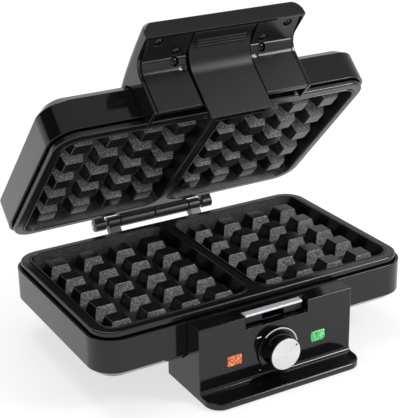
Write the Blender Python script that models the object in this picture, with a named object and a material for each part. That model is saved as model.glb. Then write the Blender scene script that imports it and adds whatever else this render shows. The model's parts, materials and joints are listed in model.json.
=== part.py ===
"""Double waffle maker: base with pedestal, hinged lid with handle, sprung latch and dial.

Metres, +Z up, +X to the right, front towards -Y.  The lid is drawn closed and turned
open about its hinge by its parent empty.
"""
import math

import bmesh
import bpy
from mathutils import Vector

MM = 0.001

# Driving dimensions, in millimetres
HALF_WIDTH = 130.0          # casing, half of the overall width
HALF_DEPTH = 79.2           # casing, half of its depth
CORNER = 20.0               # plan radius of the casing's corners
CORNER_STEPS = 7            # flats in each plan corner
CENTRE_Y = 6.15             # puts the origin under the middle of the open machine
GAP = 0.3                   # clearance between pieces that touch
WALL = 2.2                  # moulded wall of the casings

BASE_BOTTOM = 24.5          # underside of the base casing
BASE_CHAMFER = 30.5         # where the chamfer under the base meets the wall
BASE_TOP = 55.2             # top edge of the base casing
CHAMFER = 7.0               # how far the chamfers draw in
LID_EDGE = 67.1             # lower edge of the closed lid casing
LID_CHAMFER = 89.4          # where the lid's wall meets its chamfer
LID_TOP = 95.5              # top face of the closed lid

RIM_RISE = 5.3              # how far a plate's rim stands proud of its casing
RIM_INSET = 2.7             # rim, in from the casing's wall
RIM_NECK = 4.6              # neck of the casting inside the casing
RIM_WIDTH = 8.0             # flat rim round the cavities
CAVITY_DEPTH = 12.0         # rim face to cavity floor
STUD_HEIGHT = 9.8           # height of the waffle studs
PLATE_THICK = 2.6           # metal under the cavity floor
STUD_COLUMNS = 4            # studs across one cavity
STUD_ROWS = 5               # studs from front to back
STUD_PITCH_X = 27.0
STUD_PITCH_Y = 25.9
STUD_BASE = (19.0, 18.0)    # stud size at the floor
STUD_TIP = (13.6, 12.8)     # stud size at its end
DIVIDER_HALF = 4.6          # half width of the ridge between the cavities
CAVITY_DRAFT = 2.4          # how far the cavity walls lean in by the floor

HINGE_Y = 90.2              # hinge axis behind the casing
HINGE_Z = 62.4
HINGE_RADIUS = 5.0
PIN_RADIUS = 2.2
LID_OPEN = 46.0             # degrees that the lid stands open at rest

PANEL_HALF = 63.2           # half width of the pedestal and of the handle
PANEL_FRONT = -96.0         # front face of the pedestal and of the handle's skirts
PANEL_TOP = 55.8
FLANGE_FRONT = -114.5       # toe of the foot
FLANGE_CORNER = 12.0
PEDESTAL_BACK = -50.0
PEDESTAL_FLOOR = 0.5        # the moulding's lower edge, just off the table
CONTROL_Z = 25.0            # height of the dial and the lamps
LAMP_X = 35.0               # lamps to the left and right of the dial
SLOT_HALF = 25.7            # half width of the latch slot
SLOT_BOTTOM = 46.0
SLOT_BACK = -84.9

HANDLE_FRONT = -126.0
HANDLE_TOP = 112.6
LIP_BOTTOM = 99.6           # lower edge of the handle's front lip
SKIRT_BOTTOM = 59.0         # lower edge of the handle's skirts
LATCH_HALF = 24.6
LATCH_PIVOT = (-104.0, 103.6)   # y and z of the latch's pin, lid closed
LATCH_THICK = 2.4

DIAL_AXIS = (0.0, CONTROL_Z)

INLET = (96.0, 42.0)        # x and z of the cord inlet in the back wall
BOTTOM_SCREWS = [(-104.0, -50.0), (104.0, -50.0), (-58.0, 56.0), (58.0, 56.0)]
FRONT_PADS = [(-50.0, -66.0), (50.0, -66.0)]
REAR_FEET = [(-88.0, 52.0), (88.0, 52.0)]
# Screws of a handle cover: x, y and z of the head, and the lean of the shank in degrees
COVER_SCREWS = [(51.2, -117.7, 99.8, 12.6), (34.8, -106.4, 97.2, 12.6), (35.2, -98.7, 94.1, 52.0)]

COLOURS = {
    "housing": ((0.030, 0.030, 0.032), 0.18, 0.0),
    "casting": ((0.022, 0.022, 0.023), 0.45, 0.3),
    "steel": ((0.62, 0.62, 0.63), 0.35, 1.0),
    "brushed": ((0.75, 0.75, 0.76), 0.25, 1.0),
    "element": ((0.16, 0.15, 0.14), 0.5, 0.8),
    "rubber": ((0.03, 0.03, 0.03), 0.8, 0.0),
    "orange_lens": ((0.95, 0.25, 0.05), 0.2, 0.0),
    "green_lens": ((0.05, 0.75, 0.25), 0.2, 0.0),
    "lamp_glass": ((0.85, 0.80, 0.75), 0.1, 0.0),
    "ceramic": ((0.85, 0.83, 0.78), 0.6, 0.0),
    "inner_plastic": ((0.06, 0.06, 0.065), 0.45, 0.0),
}


def clear_scene():
    for item in list(bpy.data.objects):
        bpy.data.objects.remove(item, do_unlink=True)


def material(name):
    found = bpy.data.materials.get(name)
    if found:
        return found
    colour, roughness, metallic = COLOURS[name]
    made = bpy.data.materials.new(name)
    made.use_nodes = True
    shader = made.node_tree.nodes["Principled BSDF"]
    shader.inputs["Base Color"].default_value = (*colour, 1.0)
    shader.inputs["Roughness"].default_value = roughness
    shader.inputs["Metallic"].default_value = metallic
    return made


def empty(name, location, parent=None, turn_x=0.0):
    item = bpy.data.objects.new(name, None)
    bpy.context.scene.collection.objects.link(item)
    item.location = [value * MM for value in location]
    item.rotation_euler.x = math.radians(turn_x)
    item.parent = parent
    return item


def place(name, mesh, finish, group):
    """Link a mesh drawn in closed-machine millimetres under its moving group."""
    item = bpy.data.objects.new(name, mesh)
    bpy.context.scene.collection.objects.link(item)
    mesh.materials.append(material(finish))
    parent, pivot = group
    item.parent = parent
    item.location = [-value * MM for value in pivot]
    return item


def mesh_from(bm, name, smooth=True):
    bmesh.ops.remove_doubles(bm, verts=bm.verts, dist=0.002 * MM)
    bmesh.ops.recalc_face_normals(bm, faces=bm.faces)
    mesh = bpy.data.meshes.new(name)
    bm.to_mesh(mesh)
    bm.free()
    if smooth:
        mesh.shade_smooth()
        mesh.set_sharp_from_angle(angle=math.radians(32))
    return mesh


def ring(half_x, half_y, radius, z, centre=(0.0, 0.0), steps=CORNER_STEPS):
    """Rounded rectangle in plan, counter-clockwise from the right."""
    points = []
    corners = ((1, 1, 0), (-1, 1, 90), (-1, -1, 180), (1, -1, 270))
    for side_x, side_y, start in corners:
        for step in range(steps + 1):
            angle = math.radians(start + 90.0 * step / steps)
            x = centre[0] + side_x * (half_x - radius) + radius * math.cos(angle)
            y = centre[1] + side_y * (half_y - radius) + radius * math.sin(angle)
            points.append((x, y, z))
    return points


def inset_ring(inset, z, steps=CORNER_STEPS):
    """The casing's outline drawn in by inset, at height z."""
    radius = max(CORNER - inset, 2.0)
    return ring(HALF_WIDTH - inset, HALF_DEPTH - inset, radius, z, steps=steps)


def loft(name, rings, closed=False):
    """Skin between rings with the same number of points; ends are filled unless closed."""
    bm = bmesh.new()
    rows = [[bm.verts.new(Vector(p) * MM) for p in points] for points in rings]
    pairs = list(zip(rows, rows[1:]))
    if closed:
        pairs.append((rows[-1], rows[0]))
    else:
        bm.faces.new(rows[0])
        bm.faces.new(rows[-1])
    for lower, upper in pairs:
        for i in range(len(lower)):
            j = (i + 1) % len(lower)
            bm.faces.new((lower[i], lower[j], upper[j], upper[i]))
    return mesh_from(bm, name)


def prism(name, outline, start, end, axis="x"):
    """Extrude an outline of (u, v) points along an axis: x uses (y, z), y uses (x, z), z uses (x, y)."""
    order = {"x": lambda u, v, t: (t, u, v), "y": lambda u, v, t: (u, t, v), "z": lambda u, v, t: (u, v, t)}
    make = order[axis]
    return loft(name, [[make(u, v, t) for u, v in outline] for t in (start, end)])


def box(name, low, high):
    outline = [(low[0], low[1]), (high[0], low[1]), (high[0], high[1]), (low[0], high[1])]
    return prism(name, outline, low[2], high[2], axis="z")


def turned(profile, centre, axis="y", sides=32):
    """Revolve (radius, position along axis) points; centre gives the other two coordinates."""
    order = {
        "x": lambda c, s, t: (t, centre[0] + c, centre[1] + s),
        "y": lambda c, s, t: (centre[0] + c, t, centre[1] + s),
        "z": lambda c, s, t: (centre[0] + c, centre[1] + s, t),
    }
    make = order[axis]
    rings = []
    for radius, along in profile:
        angles = [2 * math.pi * i / sides for i in range(sides)]
        rings.append([make(radius * math.cos(a), radius * math.sin(a), along) for a in angles])
    return rings


def turned_solid(name, profile, centre, axis="y", sides=32, closed=False):
    return loft(name, turned(profile, centre, axis, sides), closed=closed)


def arc(centre, radius, start, end, steps):
    """Points on an arc between two angles in degrees."""
    points = []
    for step in range(steps + 1):
        angle = math.radians(start + (end - start) * step / steps)
        points.append((centre[0] + radius * math.cos(angle), centre[1] + radius * math.sin(angle)))
    return points


def hull(points):
    """Convex outline of a set of points, counter-clockwise."""
    ordered = sorted(set(points))
    chains = []
    for sequence in (ordered, ordered[::-1]):
        chain = []
        for p in sequence:
            while len(chain) > 1:
                a, b = chain[-2], chain[-1]
                if (b[0] - a[0]) * (p[1] - a[1]) - (b[1] - a[1]) * (p[0] - a[0]) > 0:
                    break
                chain.pop()
            chain.append(p)
        chains.append(chain[:-1])
    return chains[0] + chains[1]


def boolean(item, tool_mesh, operation="DIFFERENCE"):
    """Cut or join with a hidden tool that shares the item's place."""
    tool = bpy.data.objects.new(item.name + "_tool", tool_mesh)
    bpy.context.scene.collection.objects.link(tool)
    tool.parent = item.parent
    tool.location = item.location
    tool.hide_render = True
    tool.display_type = "WIRE"
    modifier = item.modifiers.new("tool", "BOOLEAN")
    modifier.operation = operation
    modifier.solver = "EXACT"
    modifier.object = tool
    return item


def pipe(name, points, radius, finish, group, resolution=1):
    """A bent tube through points, with filled ends."""
    curve = bpy.data.curves.new(name, "CURVE")
    curve.dimensions = "3D"
    curve.bevel_depth = radius * MM
    curve.bevel_resolution = resolution
    curve.use_fill_caps = True
    spline = curve.splines.new("POLY")
    spline.points.add(len(points) - 1)
    for target, p in zip(spline.points, points):
        target.co = (*(Vector(p) * MM), 1.0)
    return place(name, curve, finish, group)


# Casings -----------------------------------------------------------------------------

def base_housing(group):
    """Open tray: wall, chamfer under it and an inward flange that carries the bottom cover."""
    flange = 13.0
    edge = 0.8
    floor = BASE_BOTTOM + 2.5
    rings = [
        inset_ring(flange, BASE_BOTTOM),
        inset_ring(CHAMFER, BASE_BOTTOM),
        inset_ring(0.5, BASE_CHAMFER - 0.5),
        inset_ring(0.0, BASE_CHAMFER + 0.8),
        inset_ring(0.0, BASE_TOP - edge),
        inset_ring(edge, BASE_TOP),
        inset_ring(WALL, BASE_TOP),
        inset_ring(WALL, BASE_CHAMFER + 1.2),
        inset_ring(CHAMFER + 1.8, floor),
        inset_ring(flange, floor),
    ]
    item = place("base_housing", loft("base_housing", rings, closed=True), "housing", group)
    inlet = turned_solid("inlet", [(5.2, 70.0), (5.2, 90.0)], (INLET[0], INLET[1]), "y", 20)
    return boolean(item, inlet)


def cord_inlet(group):
    """Flanged grommet in the back wall; its bore takes the supply cord."""
    outside = HALF_DEPTH + GAP
    inside = HALF_DEPTH - WALL - GAP
    profile = [
        (3.4, inside - 2.0), (6.6, inside - 2.0), (6.6, inside), (4.8, inside),
        (4.8, outside), (7.0, outside), (6.4, outside + 2.2), (4.6, outside + 5.0), (3.4, outside + 5.0),
    ]
    mesh = turned_solid("cord_inlet", profile, INLET, "y", 20, closed=True)
    return place("cord_inlet", mesh, "rubber", group)


def bottom_cover(group):
    """Stepped plate that closes the base; its lip rests on the casing's flange."""
    under = BASE_BOTTOM - GAP
    lip = BASE_BOTTOM + 2.5 + GAP
    rings = [
        inset_ring(13.4, under), inset_ring(13.4, lip), inset_ring(10.2, lip), inset_ring(10.2, lip + 1.6),
    ]
    item = place("bottom_cover", loft("bottom_cover", rings), "inner_plastic", group)
    for x, y in BOTTOM_SCREWS:
        profile = [(3.6, 20.0), (3.6, under + 1.8), (1.9, under + 1.8), (1.9, 40.0)]
        boolean(item, turned_solid("screw_hole", profile, (x, y), "z", 14))
    return item


def bottom_screws(group):
    under = BASE_BOTTOM - GAP
    for number, (x, y) in enumerate(BOTTOM_SCREWS, start=1):
        profile = [(3.2, under + 0.1), (3.2, under + 1.5), (1.5, under + 1.5), (1.5, under + 9.0)]
        name = f"bottom_screw_{number}"
        place(name, turned_solid(name, profile, (x, y), "z", 14), "steel", group)


def lid_housing(group):
    """Closed dome: wall, chamfer and a flat top, open underneath."""
    edge = 0.8
    rings = [
        inset_ring(CHAMFER - 1.0, LID_TOP),
        inset_ring(0.5, LID_CHAMFER + 0.5),
        inset_ring(0.0, LID_CHAMFER - 0.8),
        inset_ring(0.0, LID_EDGE + edge),
        inset_ring(edge, LID_EDGE),
        inset_ring(WALL, LID_EDGE),
        inset_ring(WALL, LID_CHAMFER - 1.2),
        inset_ring(CHAMFER + 0.8, LID_TOP - 2.5),
    ]
    return place("lid_housing", loft("lid_housing", rings), "housing", group)


# Baking plates -------------------------------------------------------------------------

def stud_lines(centre, pitch, count, size):
    """Start and end of each stud along one direction."""
    first = centre - pitch * (count - 1) / 2
    return [(first + pitch * i - size / 2, first + pitch * i + size / 2) for i in range(count)]


def cavity_faces(bm, side, rim_z, up):
    """One cavity with its studs; up is 1 where the cavity opens upwards, -1 downwards.

    Returns the loop of vertices round the cavity's mouth.
    """
    half_y = HALF_DEPTH - RIM_INSET - RIM_WIDTH
    outer_x = HALF_WIDTH - RIM_INSET - RIM_WIDTH
    centre_x = side * (DIVIDER_HALF + outer_x) / 2
    half_x = (outer_x - DIVIDER_HALF) / 2
    floor_z = rim_z - up * CAVITY_DEPTH
    tip_z = floor_z + up * STUD_HEIGHT
    columns = stud_lines(centre_x, STUD_PITCH_X, STUD_COLUMNS, STUD_BASE[0])
    rows = stud_lines(0.0, STUD_PITCH_Y, STUD_ROWS, STUD_BASE[1])
    floor_half_x = half_x - CAVITY_DRAFT
    floor_half_y = half_y - CAVITY_DRAFT
    xs = [centre_x - floor_half_x, *[v for pair in columns for v in pair], centre_x + floor_half_x]
    ys = [-floor_half_y, *[v for pair in rows for v in pair], floor_half_y]
    grid = [[bm.verts.new(Vector((x, y, floor_z)) * MM) for x in xs] for y in ys]
    for j in range(len(ys) - 1):
        for i in range(len(xs) - 1):
            base = [grid[j][i], grid[j][i + 1], grid[j + 1][i + 1], grid[j + 1][i]]
            if i % 2 == 1 and j % 2 == 1:
                middle_x = (xs[i] + xs[i + 1]) / 2
                middle_y = (ys[j] + ys[j + 1]) / 2
                tips = []
                for step_x, step_y in ((-1, -1), (1, -1), (1, 1), (-1, 1)):
                    x = middle_x + step_x * STUD_TIP[0] / 2
                    y = middle_y + step_y * STUD_TIP[1] / 2
                    tips.append(bm.verts.new(Vector((x, y, tip_z)) * MM))
                for k in range(4):
                    n = (k + 1) % 4
                    bm.faces.new((base[k], base[n], tips[n], tips[k]))
                bm.faces.new(tips)
            else:
                bm.faces.new(base)
    last_x, last_y = len(xs) - 1, len(ys) - 1
    border = [(0, i) for i in range(last_x)] + [(j, last_x) for j in range(last_y)]
    border += [(last_y, i) for i in range(last_x, 0, -1)] + [(j, 0) for j in range(last_y, 0, -1)]
    floor_loop = [grid[j][i] for j, i in border]
    mouth = []
    for vert in floor_loop:
        x = centre_x + (vert.co.x / MM - centre_x) * half_x / floor_half_x
        y = vert.co.y / MM * half_y / floor_half_y
        mouth.append(bm.verts.new(Vector((x, y, rim_z)) * MM))
    for k in range(len(mouth)):
        n = (k + 1) % len(mouth)
        bm.faces.new((floor_loop[k], floor_loop[n], mouth[n], mouth[k]))
    return mouth


def baking_plate(name, rim_z, up, group):
    """Cast plate: proud rim, two studded cavities and a flat back."""
    bm = bmesh.new()
    mouths = [cavity_faces(bm, side, rim_z, up) for side in (-1, 1)]
    back_z = rim_z - up * (CAVITY_DEPTH + PLATE_THICK)
    neck_z = rim_z - up * (RIM_RISE - 0.9)
    levels = [
        (RIM_INSET + 1.0, rim_z), (RIM_INSET, rim_z - up * 1.0), (RIM_INSET, neck_z),
        (RIM_NECK, neck_z), (RIM_NECK, back_z + up * 2.0), (RIM_NECK + 2.0, back_z),
    ]
    rows = [[bm.verts.new(Vector(p) * MM) for p in inset_ring(inset, z)] for inset, z in levels]
    for lower, upper in zip(rows, rows[1:]):
        for i in range(len(lower)):
            j = (i + 1) % len(lower)
            bm.faces.new((lower[i], lower[j], upper[j], upper[i]))
    bm.faces.new(rows[-1])
    edges = []
    for loop in (rows[0], *mouths):
        for i in range(len(loop)):
            pair = (loop[i], loop[(i + 1) % len(loop)])
            edges.append(bm.edges.get(pair) or bm.edges.new(pair))
    bmesh.ops.triangle_fill(bm, edges=edges, use_beauty=True, use_dissolve=False)
    return place(name, mesh_from(bm, name), "casting", group)


def heater_path(z, lead):
    """Rounded loop with both ends near the back, then short leads along lead."""
    half_x, front, back, radius = 92.0, -46.0, 52.0, 14.0
    corners = [((-half_x + radius, back - radius), 90, 180), ((-half_x + radius, front + radius), 180, 270),
               ((half_x - radius, front + radius), 270, 360), ((half_x - radius, back - radius), 0, 90)]
    points = [(-16.0, back, z + lead), (-16.0, back, z)]
    for centre, start, end in corners:
        points += [(x, y, z) for x, y in arc(centre, radius, start, end, 6)]
    return points + [(16.0, back, z), (16.0, back, z + lead)]


def reflector(name, floor_z, up, group):
    """Thin steel pan behind a heating element."""
    half_x, half_y, radius, sheet, depth = 116.0, 66.0, 12.0, 0.8, 5.0
    rings = [
        ring(half_x, half_y, radius, floor_z, steps=4),
        ring(half_x, half_y, radius, floor_z + up * depth, steps=4),
        ring(half_x - sheet, half_y - sheet, radius - sheet, floor_z + up * depth, steps=4),
        ring(half_x - sheet, half_y - sheet, radius - sheet, floor_z + up * sheet, steps=4),
    ]
    item = place(name, loft(name, rings), "steel", group)
    for x in (-16.0, 16.0):
        hole = turned_solid("lead_hole", [(4.4, floor_z - 3.0), (4.4, floor_z + 3.0)], (x, 52.0), "z", 12)
        boolean(item, hole)
    return item


# Pedestal and controls -----------------------------------------------------------------

def pedestal_outline():
    """Side view of the pedestal as (y, z): panel, concave toe, foot and the rebate for the base."""
    fillet = 3.4
    toe_top = 5.0
    back_wall = -HALF_DEPTH - GAP
    under = BASE_BOTTOM - 2 * GAP
    outline = [(PANEL_FRONT + 0.8, PANEL_TOP), (PANEL_FRONT, PANEL_TOP - 0.8)]
    centre = (PANEL_FRONT - fillet, toe_top + 0.8 + fillet)
    outline += arc(centre, fillet, 0, -85, 6)
    outline += [(FLANGE_FRONT + 1.2, toe_top), (FLANGE_FRONT, toe_top - 1.2)]
    outline += [(FLANGE_FRONT, PEDESTAL_FLOOR + 0.6), (FLANGE_FRONT + 0.6, PEDESTAL_FLOOR)]
    outline += [(PEDESTAL_BACK, PEDESTAL_FLOOR), (PEDESTAL_BACK, under)]
    outline += [(-HALF_DEPTH + CHAMFER - 0.1, under), (back_wall, BASE_CHAMFER - 0.4)]
    outline += [(back_wall, PANEL_TOP)]
    return outline


def pedestal(group):
    """Hollow moulding: control panel, latch slot, lamp windows and a foot with a toe."""
    item = place("pedestal", prism("pedestal", pedestal_outline(), -PANEL_HALF, PANEL_HALF), "housing", group)
    toe = arc((PANEL_HALF - FLANGE_CORNER, FLANGE_FRONT + FLANGE_CORNER), FLANGE_CORNER, -90, 0, 6)
    plan = [(-x, y) for x, y in toe[::-1]] + toe + [(PANEL_HALF, -30.0), (-PANEL_HALF, -30.0)]
    boolean(item, prism("plan", plan, -5.0, 80.0, axis="z"), "INTERSECT")
    wall = 2.6
    inner = PANEL_HALF - wall
    front = PANEL_FRONT + wall
    rear = -HALF_DEPTH - wall
    cavities = [
        ((-inner, front, -5.0), (inner, PEDESTAL_BACK - wall, 21.2)),
        ((-inner + 0.1, front + 0.1, 20.0), (inner - 0.1, rear, 42.0)),
        ((-inner + 0.2, front + 0.2, 41.0), (-SLOT_HALF - wall, rear - 0.1, PANEL_TOP - wall)),
        ((SLOT_HALF + wall, front + 0.2, 41.0), (inner - 0.2, rear - 0.1, PANEL_TOP - wall)),
        ((-SLOT_HALF, PANEL_FRONT - 5.0, SLOT_BOTTOM), (SLOT_HALF, -88.2, PANEL_TOP + 5.0)),
        ((-SLOT_HALF + 0.1, -90.0, SLOT_BOTTOM + 0.1), (SLOT_HALF - 0.1, SLOT_BACK, PANEL_TOP - wall)),
    ]
    for low, high in cavities:
        boolean(item, box("cavity", low, high))
    boolean(item, turned_solid("spindle_hole", [(4.2, PANEL_FRONT - 5), (4.2, front + 5)], DIAL_AXIS, "y", 20))
    for x in (-LAMP_X, LAMP_X):
        window = lens_outline(x, 0.3)
        boolean(item, prism("window", window, PANEL_FRONT - 5, front + 5, axis="y"))
    return item


def lens_outline(x, grow):
    """Rounded lamp window in the panel's plane."""
    half_x, half_z, radius = 5.8 + grow, 3.8 + grow, 1.0 + grow
    return [(px, pz) for px, pz, _ in ring(half_x, half_z, radius, 0.0, (x, CONTROL_Z), steps=3)]


def lamps(group):
    for name, x, finish in (("orange_lens", -LAMP_X, "orange_lens"), ("green_lens", LAMP_X, "green_lens")):
        mesh = prism(name, lens_outline(x, 0.0), PANEL_FRONT - 0.4, PANEL_FRONT + 3.4, axis="y")
        place(name, mesh, finish, group)
        lamp = name.replace("lens", "lamp")
        profile = [(1.0, -92.2), (2.4, -91.0), (2.4, -85.6), (1.2, -84.6)]
        place(lamp, turned_solid(lamp, profile, (x, CONTROL_Z), "y", 12), "lamp_glass", group)


def catch_bar(group):
    """Metal strip across the top of the slot with two tabs behind; the latch hooks under it."""
    top = PANEL_TOP + 0.4
    under = top - 1.6
    item = place("catch_bar", box("catch_bar", (-25.3, -94.4, under), (25.3, -88.6, top)), "steel", group)
    for side in (-1, 1):
        low_x, high_x = sorted((side * 9.0, side * 24.0))
        tab = box("tab", (low_x, -90.2, SLOT_BOTTOM + 2.4), (high_x, -88.7, under + 1.0))
        boolean(item, tab, "UNION")
    return item


def dial_plate(group):
    """Raised disc behind the knob."""
    face = PANEL_FRONT - 1.6
    back = PANEL_FRONT - GAP
    profile = [(4.2, back), (15.9, back), (16.6, back - 0.5), (16.6, face + 0.5), (16.1, face), (4.2, face)]
    mesh = turned_solid("dial_plate", profile, DIAL_AXIS, "y", 40, closed=True)
    return place("dial_plate", mesh, "housing", group)


def knob(group):
    back = PANEL_FRONT - 1.6 - GAP
    front = PANEL_FRONT - 11.2
    profile = [
        (3.2, back), (13.0, back), (12.9, back - 2.0), (12.7, front + 0.5), (12.5, front), (12.2, front),
        (12.2, front + 1.0), (2.0, front + 1.0), (2.0, front + 2.2), (3.2, front + 2.2),
    ]
    mesh = turned_solid("knob", profile, DIAL_AXIS, "y", 40, closed=True)
    return place("knob", mesh, "housing", group)


def knob_cap(group):
    front = PANEL_FRONT - 11.2
    profile = [(11.7, front + 0.7), (11.9, front + 0.4), (11.9, front - 0.2), (11.5, front - 0.5)]
    return place("knob_cap", turned_solid("knob_cap", profile, DIAL_AXIS, "y", 40), "brushed", group)


def dial_spindle(group):
    mesh = turned_solid("dial_spindle", [(2.9, -91.3), (2.9, -104.6)], DIAL_AXIS, "y", 16)
    return place("dial_spindle", mesh, "steel", group)


def thermostat(group):
    mesh = box("thermostat", (-13.0, -91.0, 9.0), (13.0, -83.4, 38.0))
    return place("thermostat", mesh, "ceramic", group)


def pedestal_insides(group):
    inner = PANEL_HALF - 3.2
    place("pedestal_cover", box("pedestal_cover", (-inner, -92.8, 1.4), (inner, -53.4, 3.4)), "inner_plastic", group)
    place("terminal_block", box("terminal_block", (18.0, -74.0, 4.0), (44.0, -62.0, 15.0)), "ceramic", group)


def feet(group):
    """Two rubber pads under the pedestal and two posts with pads at the back."""
    for side, (x, y) in zip(("left", "right"), FRONT_PADS):
        name = f"front_pad_{side}"
        profile = [(5.6, 0.0), (6.2, 0.5), (6.2, 1.1)]
        place(name, turned_solid(name, profile, (x, y), "z", 20), "rubber", group)
    for side, (x, y) in zip(("left", "right"), REAR_FEET):
        under = BASE_BOTTOM - 2 * GAP
        name = f"rear_foot_{side}"
        rings = [ring(12.0, 9.0, 4.0, 1.6, (x, y), 4), ring(15.0, 12.0, 5.0, under, (x, y), 4)]
        place(name, loft(name, rings), "housing", group)
        name = f"rear_pad_{side}"
        rings = [ring(9.4, 6.4, 3.0, 0.0, (x, y), 4), ring(10.0, 7.0, 3.0, 0.5, (x, y), 4),
                 ring(10.0, 7.0, 3.0, 1.3, (x, y), 4)]
        place(name, loft(name, rings), "rubber", group)


# Hinge ---------------------------------------------------------------------------------

def hinge_leaf(name, wall_z, knuckles, plate_half, group):
    """Leaf screwed to a casing's back wall, with knuckles round the shared pin."""
    wall_y = HALF_DEPTH + GAP
    leaf = 2.2
    low, high = wall_z
    item = place(name, box(name, (-plate_half, wall_y, low), (plate_half, wall_y + leaf, high)), "housing", group)
    barrel = arc((HINGE_Y, HINGE_Z), HINGE_RADIUS, 0, 345, 23)
    outline = hull([*barrel, (wall_y + 0.2, low + 0.3), (wall_y + 0.2, high - 0.3)])
    for start, end in knuckles:
        boolean(item, prism("knuckle", outline, start, end), "UNION")
    bore = turned_solid("bore", [(PIN_RADIUS + 0.3, -60.0), (PIN_RADIUS + 0.3, 60.0)], (HINGE_Y, HINGE_Z), "x", 20)
    return boolean(item, bore)


def hinge(base_group, lid_group):
    hinge_leaf("base_hinge_leaf", (43.0, 53.0), [(-41.9, -31.8), (31.8, 41.9)], 41.9, base_group)
    knuckles = [(-53.5, -44.4), (-30.9, -0.5), (0.5, 30.9), (44.4, 53.5)]
    hinge_leaf("lid_hinge_leaf", (70.0, 79.0), knuckles, 53.5, lid_group)
    pin = turned_solid("hinge_pin", [(PIN_RADIUS, -54.4), (PIN_RADIUS, 54.4)], (HINGE_Y, HINGE_Z), "x", 20)
    place("hinge_pin", pin, "steel", base_group)


# Handle and latch ----------------------------------------------------------------------

def handle_top():
    """Top line of the handle, rising forward from the lid's top face, as (y, z)."""
    seat = LID_TOP + GAP
    return [(-38.0, seat), (-44.0, 98.4), (-52.0, 101.4), (-62.0, 104.2), (-76.0, 107.2),
            (-92.0, 109.6), (-108.0, 111.4), (HANDLE_FRONT + 3.0, HANDLE_TOP), (HANDLE_FRONT + 0.9, HANDLE_TOP - 0.5),
            (HANDLE_FRONT, HANDLE_TOP - 2.2)]


def handle_underside():
    """Underside from the lip back to the skirt's face: nearly flat, then a concave corner."""
    radius = 11.5
    centre = (PANEL_FRONT - radius, 98.2 - radius)
    return [(HANDLE_FRONT + 2.8, 99.4), *arc(centre, radius, 90, 0, 7)]


def lid_wall_line():
    """The lid casing's outside, from the skirt's lower edge up to the top face, as (y, z)."""
    wall = -HALF_DEPTH - GAP
    return [(wall, SKIRT_BOTTOM), (wall, LID_CHAMFER + 0.2), (-HALF_DEPTH + CHAMFER - 1.2, LID_TOP + GAP)]


def handle_shell(group):
    """Outer moulding of the handle: top, front lip and the two side walls down to the skirts."""
    outline = handle_top() + [(HANDLE_FRONT, LIP_BOTTOM + 0.6), (HANDLE_FRONT + 0.6, LIP_BOTTOM)]
    outline += handle_underside() + [(PANEL_FRONT, SKIRT_BOTTOM)] + lid_wall_line()
    bm = bmesh.new()
    bm.from_mesh(prism("outer", outline, -PANEL_HALF, PANEL_HALF))
    side_edges = []
    for edge in bm.edges:
        a, b = (v.co / MM for v in edge.verts)
        on_side = abs(abs(a.x) - PANEL_HALF) < 0.01 and abs(a.x - b.x) < 0.01
        on_top = min(a.z, b.z) > LID_TOP + GAP + 0.1 and max(a.y, b.y) < -37.0 and min(a.z, b.z) > 100.2
        if on_side and on_top:
            side_edges.append(edge)
    bmesh.ops.bevel(bm, geom=side_edges, offset=4.0 * MM, segments=4, profile=0.5, affect="EDGES")
    item = place("handle_shell", mesh_from(bm, "handle_shell"), "housing", group)
    wall = 2.6
    inner_top = [(y + wall, z - wall) for y, z in handle_top()[2:-2]]
    hollow = inner_top + [(HANDLE_FRONT + wall, 108.0), (HANDLE_FRONT + wall, 90.0), (-100.0, 90.0), (-100.0, 50.0)]
    hollow += [(-HALF_DEPTH + 1.0, 50.0), (-HALF_DEPTH + 1.0, LID_TOP - 5.0), (-50.0, LID_TOP - 5.0)]
    boolean(item, prism("hollow", hollow, -PANEL_HALF + wall, PANEL_HALF - wall))
    return item


def cover_outline():
    """Cross-section of a handle cover: underside, banded corner and skirt."""
    face = PANEL_FRONT - 0.2
    outer = [(HANDLE_FRONT + 3.1, 100.4), (-101.2, 95.6), (-100.2, 94.6), (-97.8, 91.4),
             (face, 86.6), (face, SKIRT_BOTTOM + 1.0), (face + 1.0, SKIRT_BOTTOM)]
    inner = [(-92.2, SKIRT_BOTTOM), (-93.0, 62.0), (-93.0, 86.0), (-95.0, 92.8), (-102.8, 101.6), (-108.6, 102.4),
             (HANDLE_FRONT + 3.1, 103.4)]
    return outer + inner


def screw_frame(side, spec):
    """Centre of a cover screw's head and the direction that its shank points."""
    x, y, z, tilt = spec
    angle = math.radians(tilt)
    return Vector((side * x, y, z)), Vector((0.0, math.sin(angle), math.cos(angle)))


def screw_mesh(name, centre, direction, profile, sides):
    """Turn (radius, depth along direction) points about a tilted axis."""
    across = Vector((1.0, 0.0, 0.0))
    third = direction.cross(across)
    rings = []
    for radius, along in profile:
        angles = [2 * math.pi * i / sides for i in range(sides)]
        middle = centre + direction * along
        rings.append([middle + radius * (across * math.cos(a) + third * math.sin(a)) for a in angles])
    return loft(name, rings)


def handle_covers(group):
    """Left and right covers under the handle, each held by three screws and holding the latch pin."""
    for side, label in ((-1, "left"), (1, "right")):
        low_x, high_x = sorted((side * 26.0, side * (PANEL_HALF - 3.0)))
        name = f"handle_cover_{label}"
        item = place(name, prism(name, cover_outline(), low_x, high_x), "housing", group)
        low_x, high_x = sorted((side * 26.3, side * 31.0))
        lug = [(LATCH_PIVOT[0] - 3.4, 100.6), (LATCH_PIVOT[0] + 3.4, 99.0),
               *arc(LATCH_PIVOT, 3.4, 0, 180, 8)]
        boolean(item, prism("lug", lug, low_x, high_x), "UNION")
        bore = turned_solid("bore", [(1.8, -70.0), (1.8, 70.0)], LATCH_PIVOT, "x", 14)
        boolean(item, bore)
        for spec in COVER_SCREWS:
            centre, direction = screw_frame(side, spec)
            profile = [(3.3, -6.0), (3.3, 1.2), (1.7, 1.2), (1.7, 9.0)]
            boolean(item, screw_mesh("well", centre, direction, profile, 14))


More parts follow.
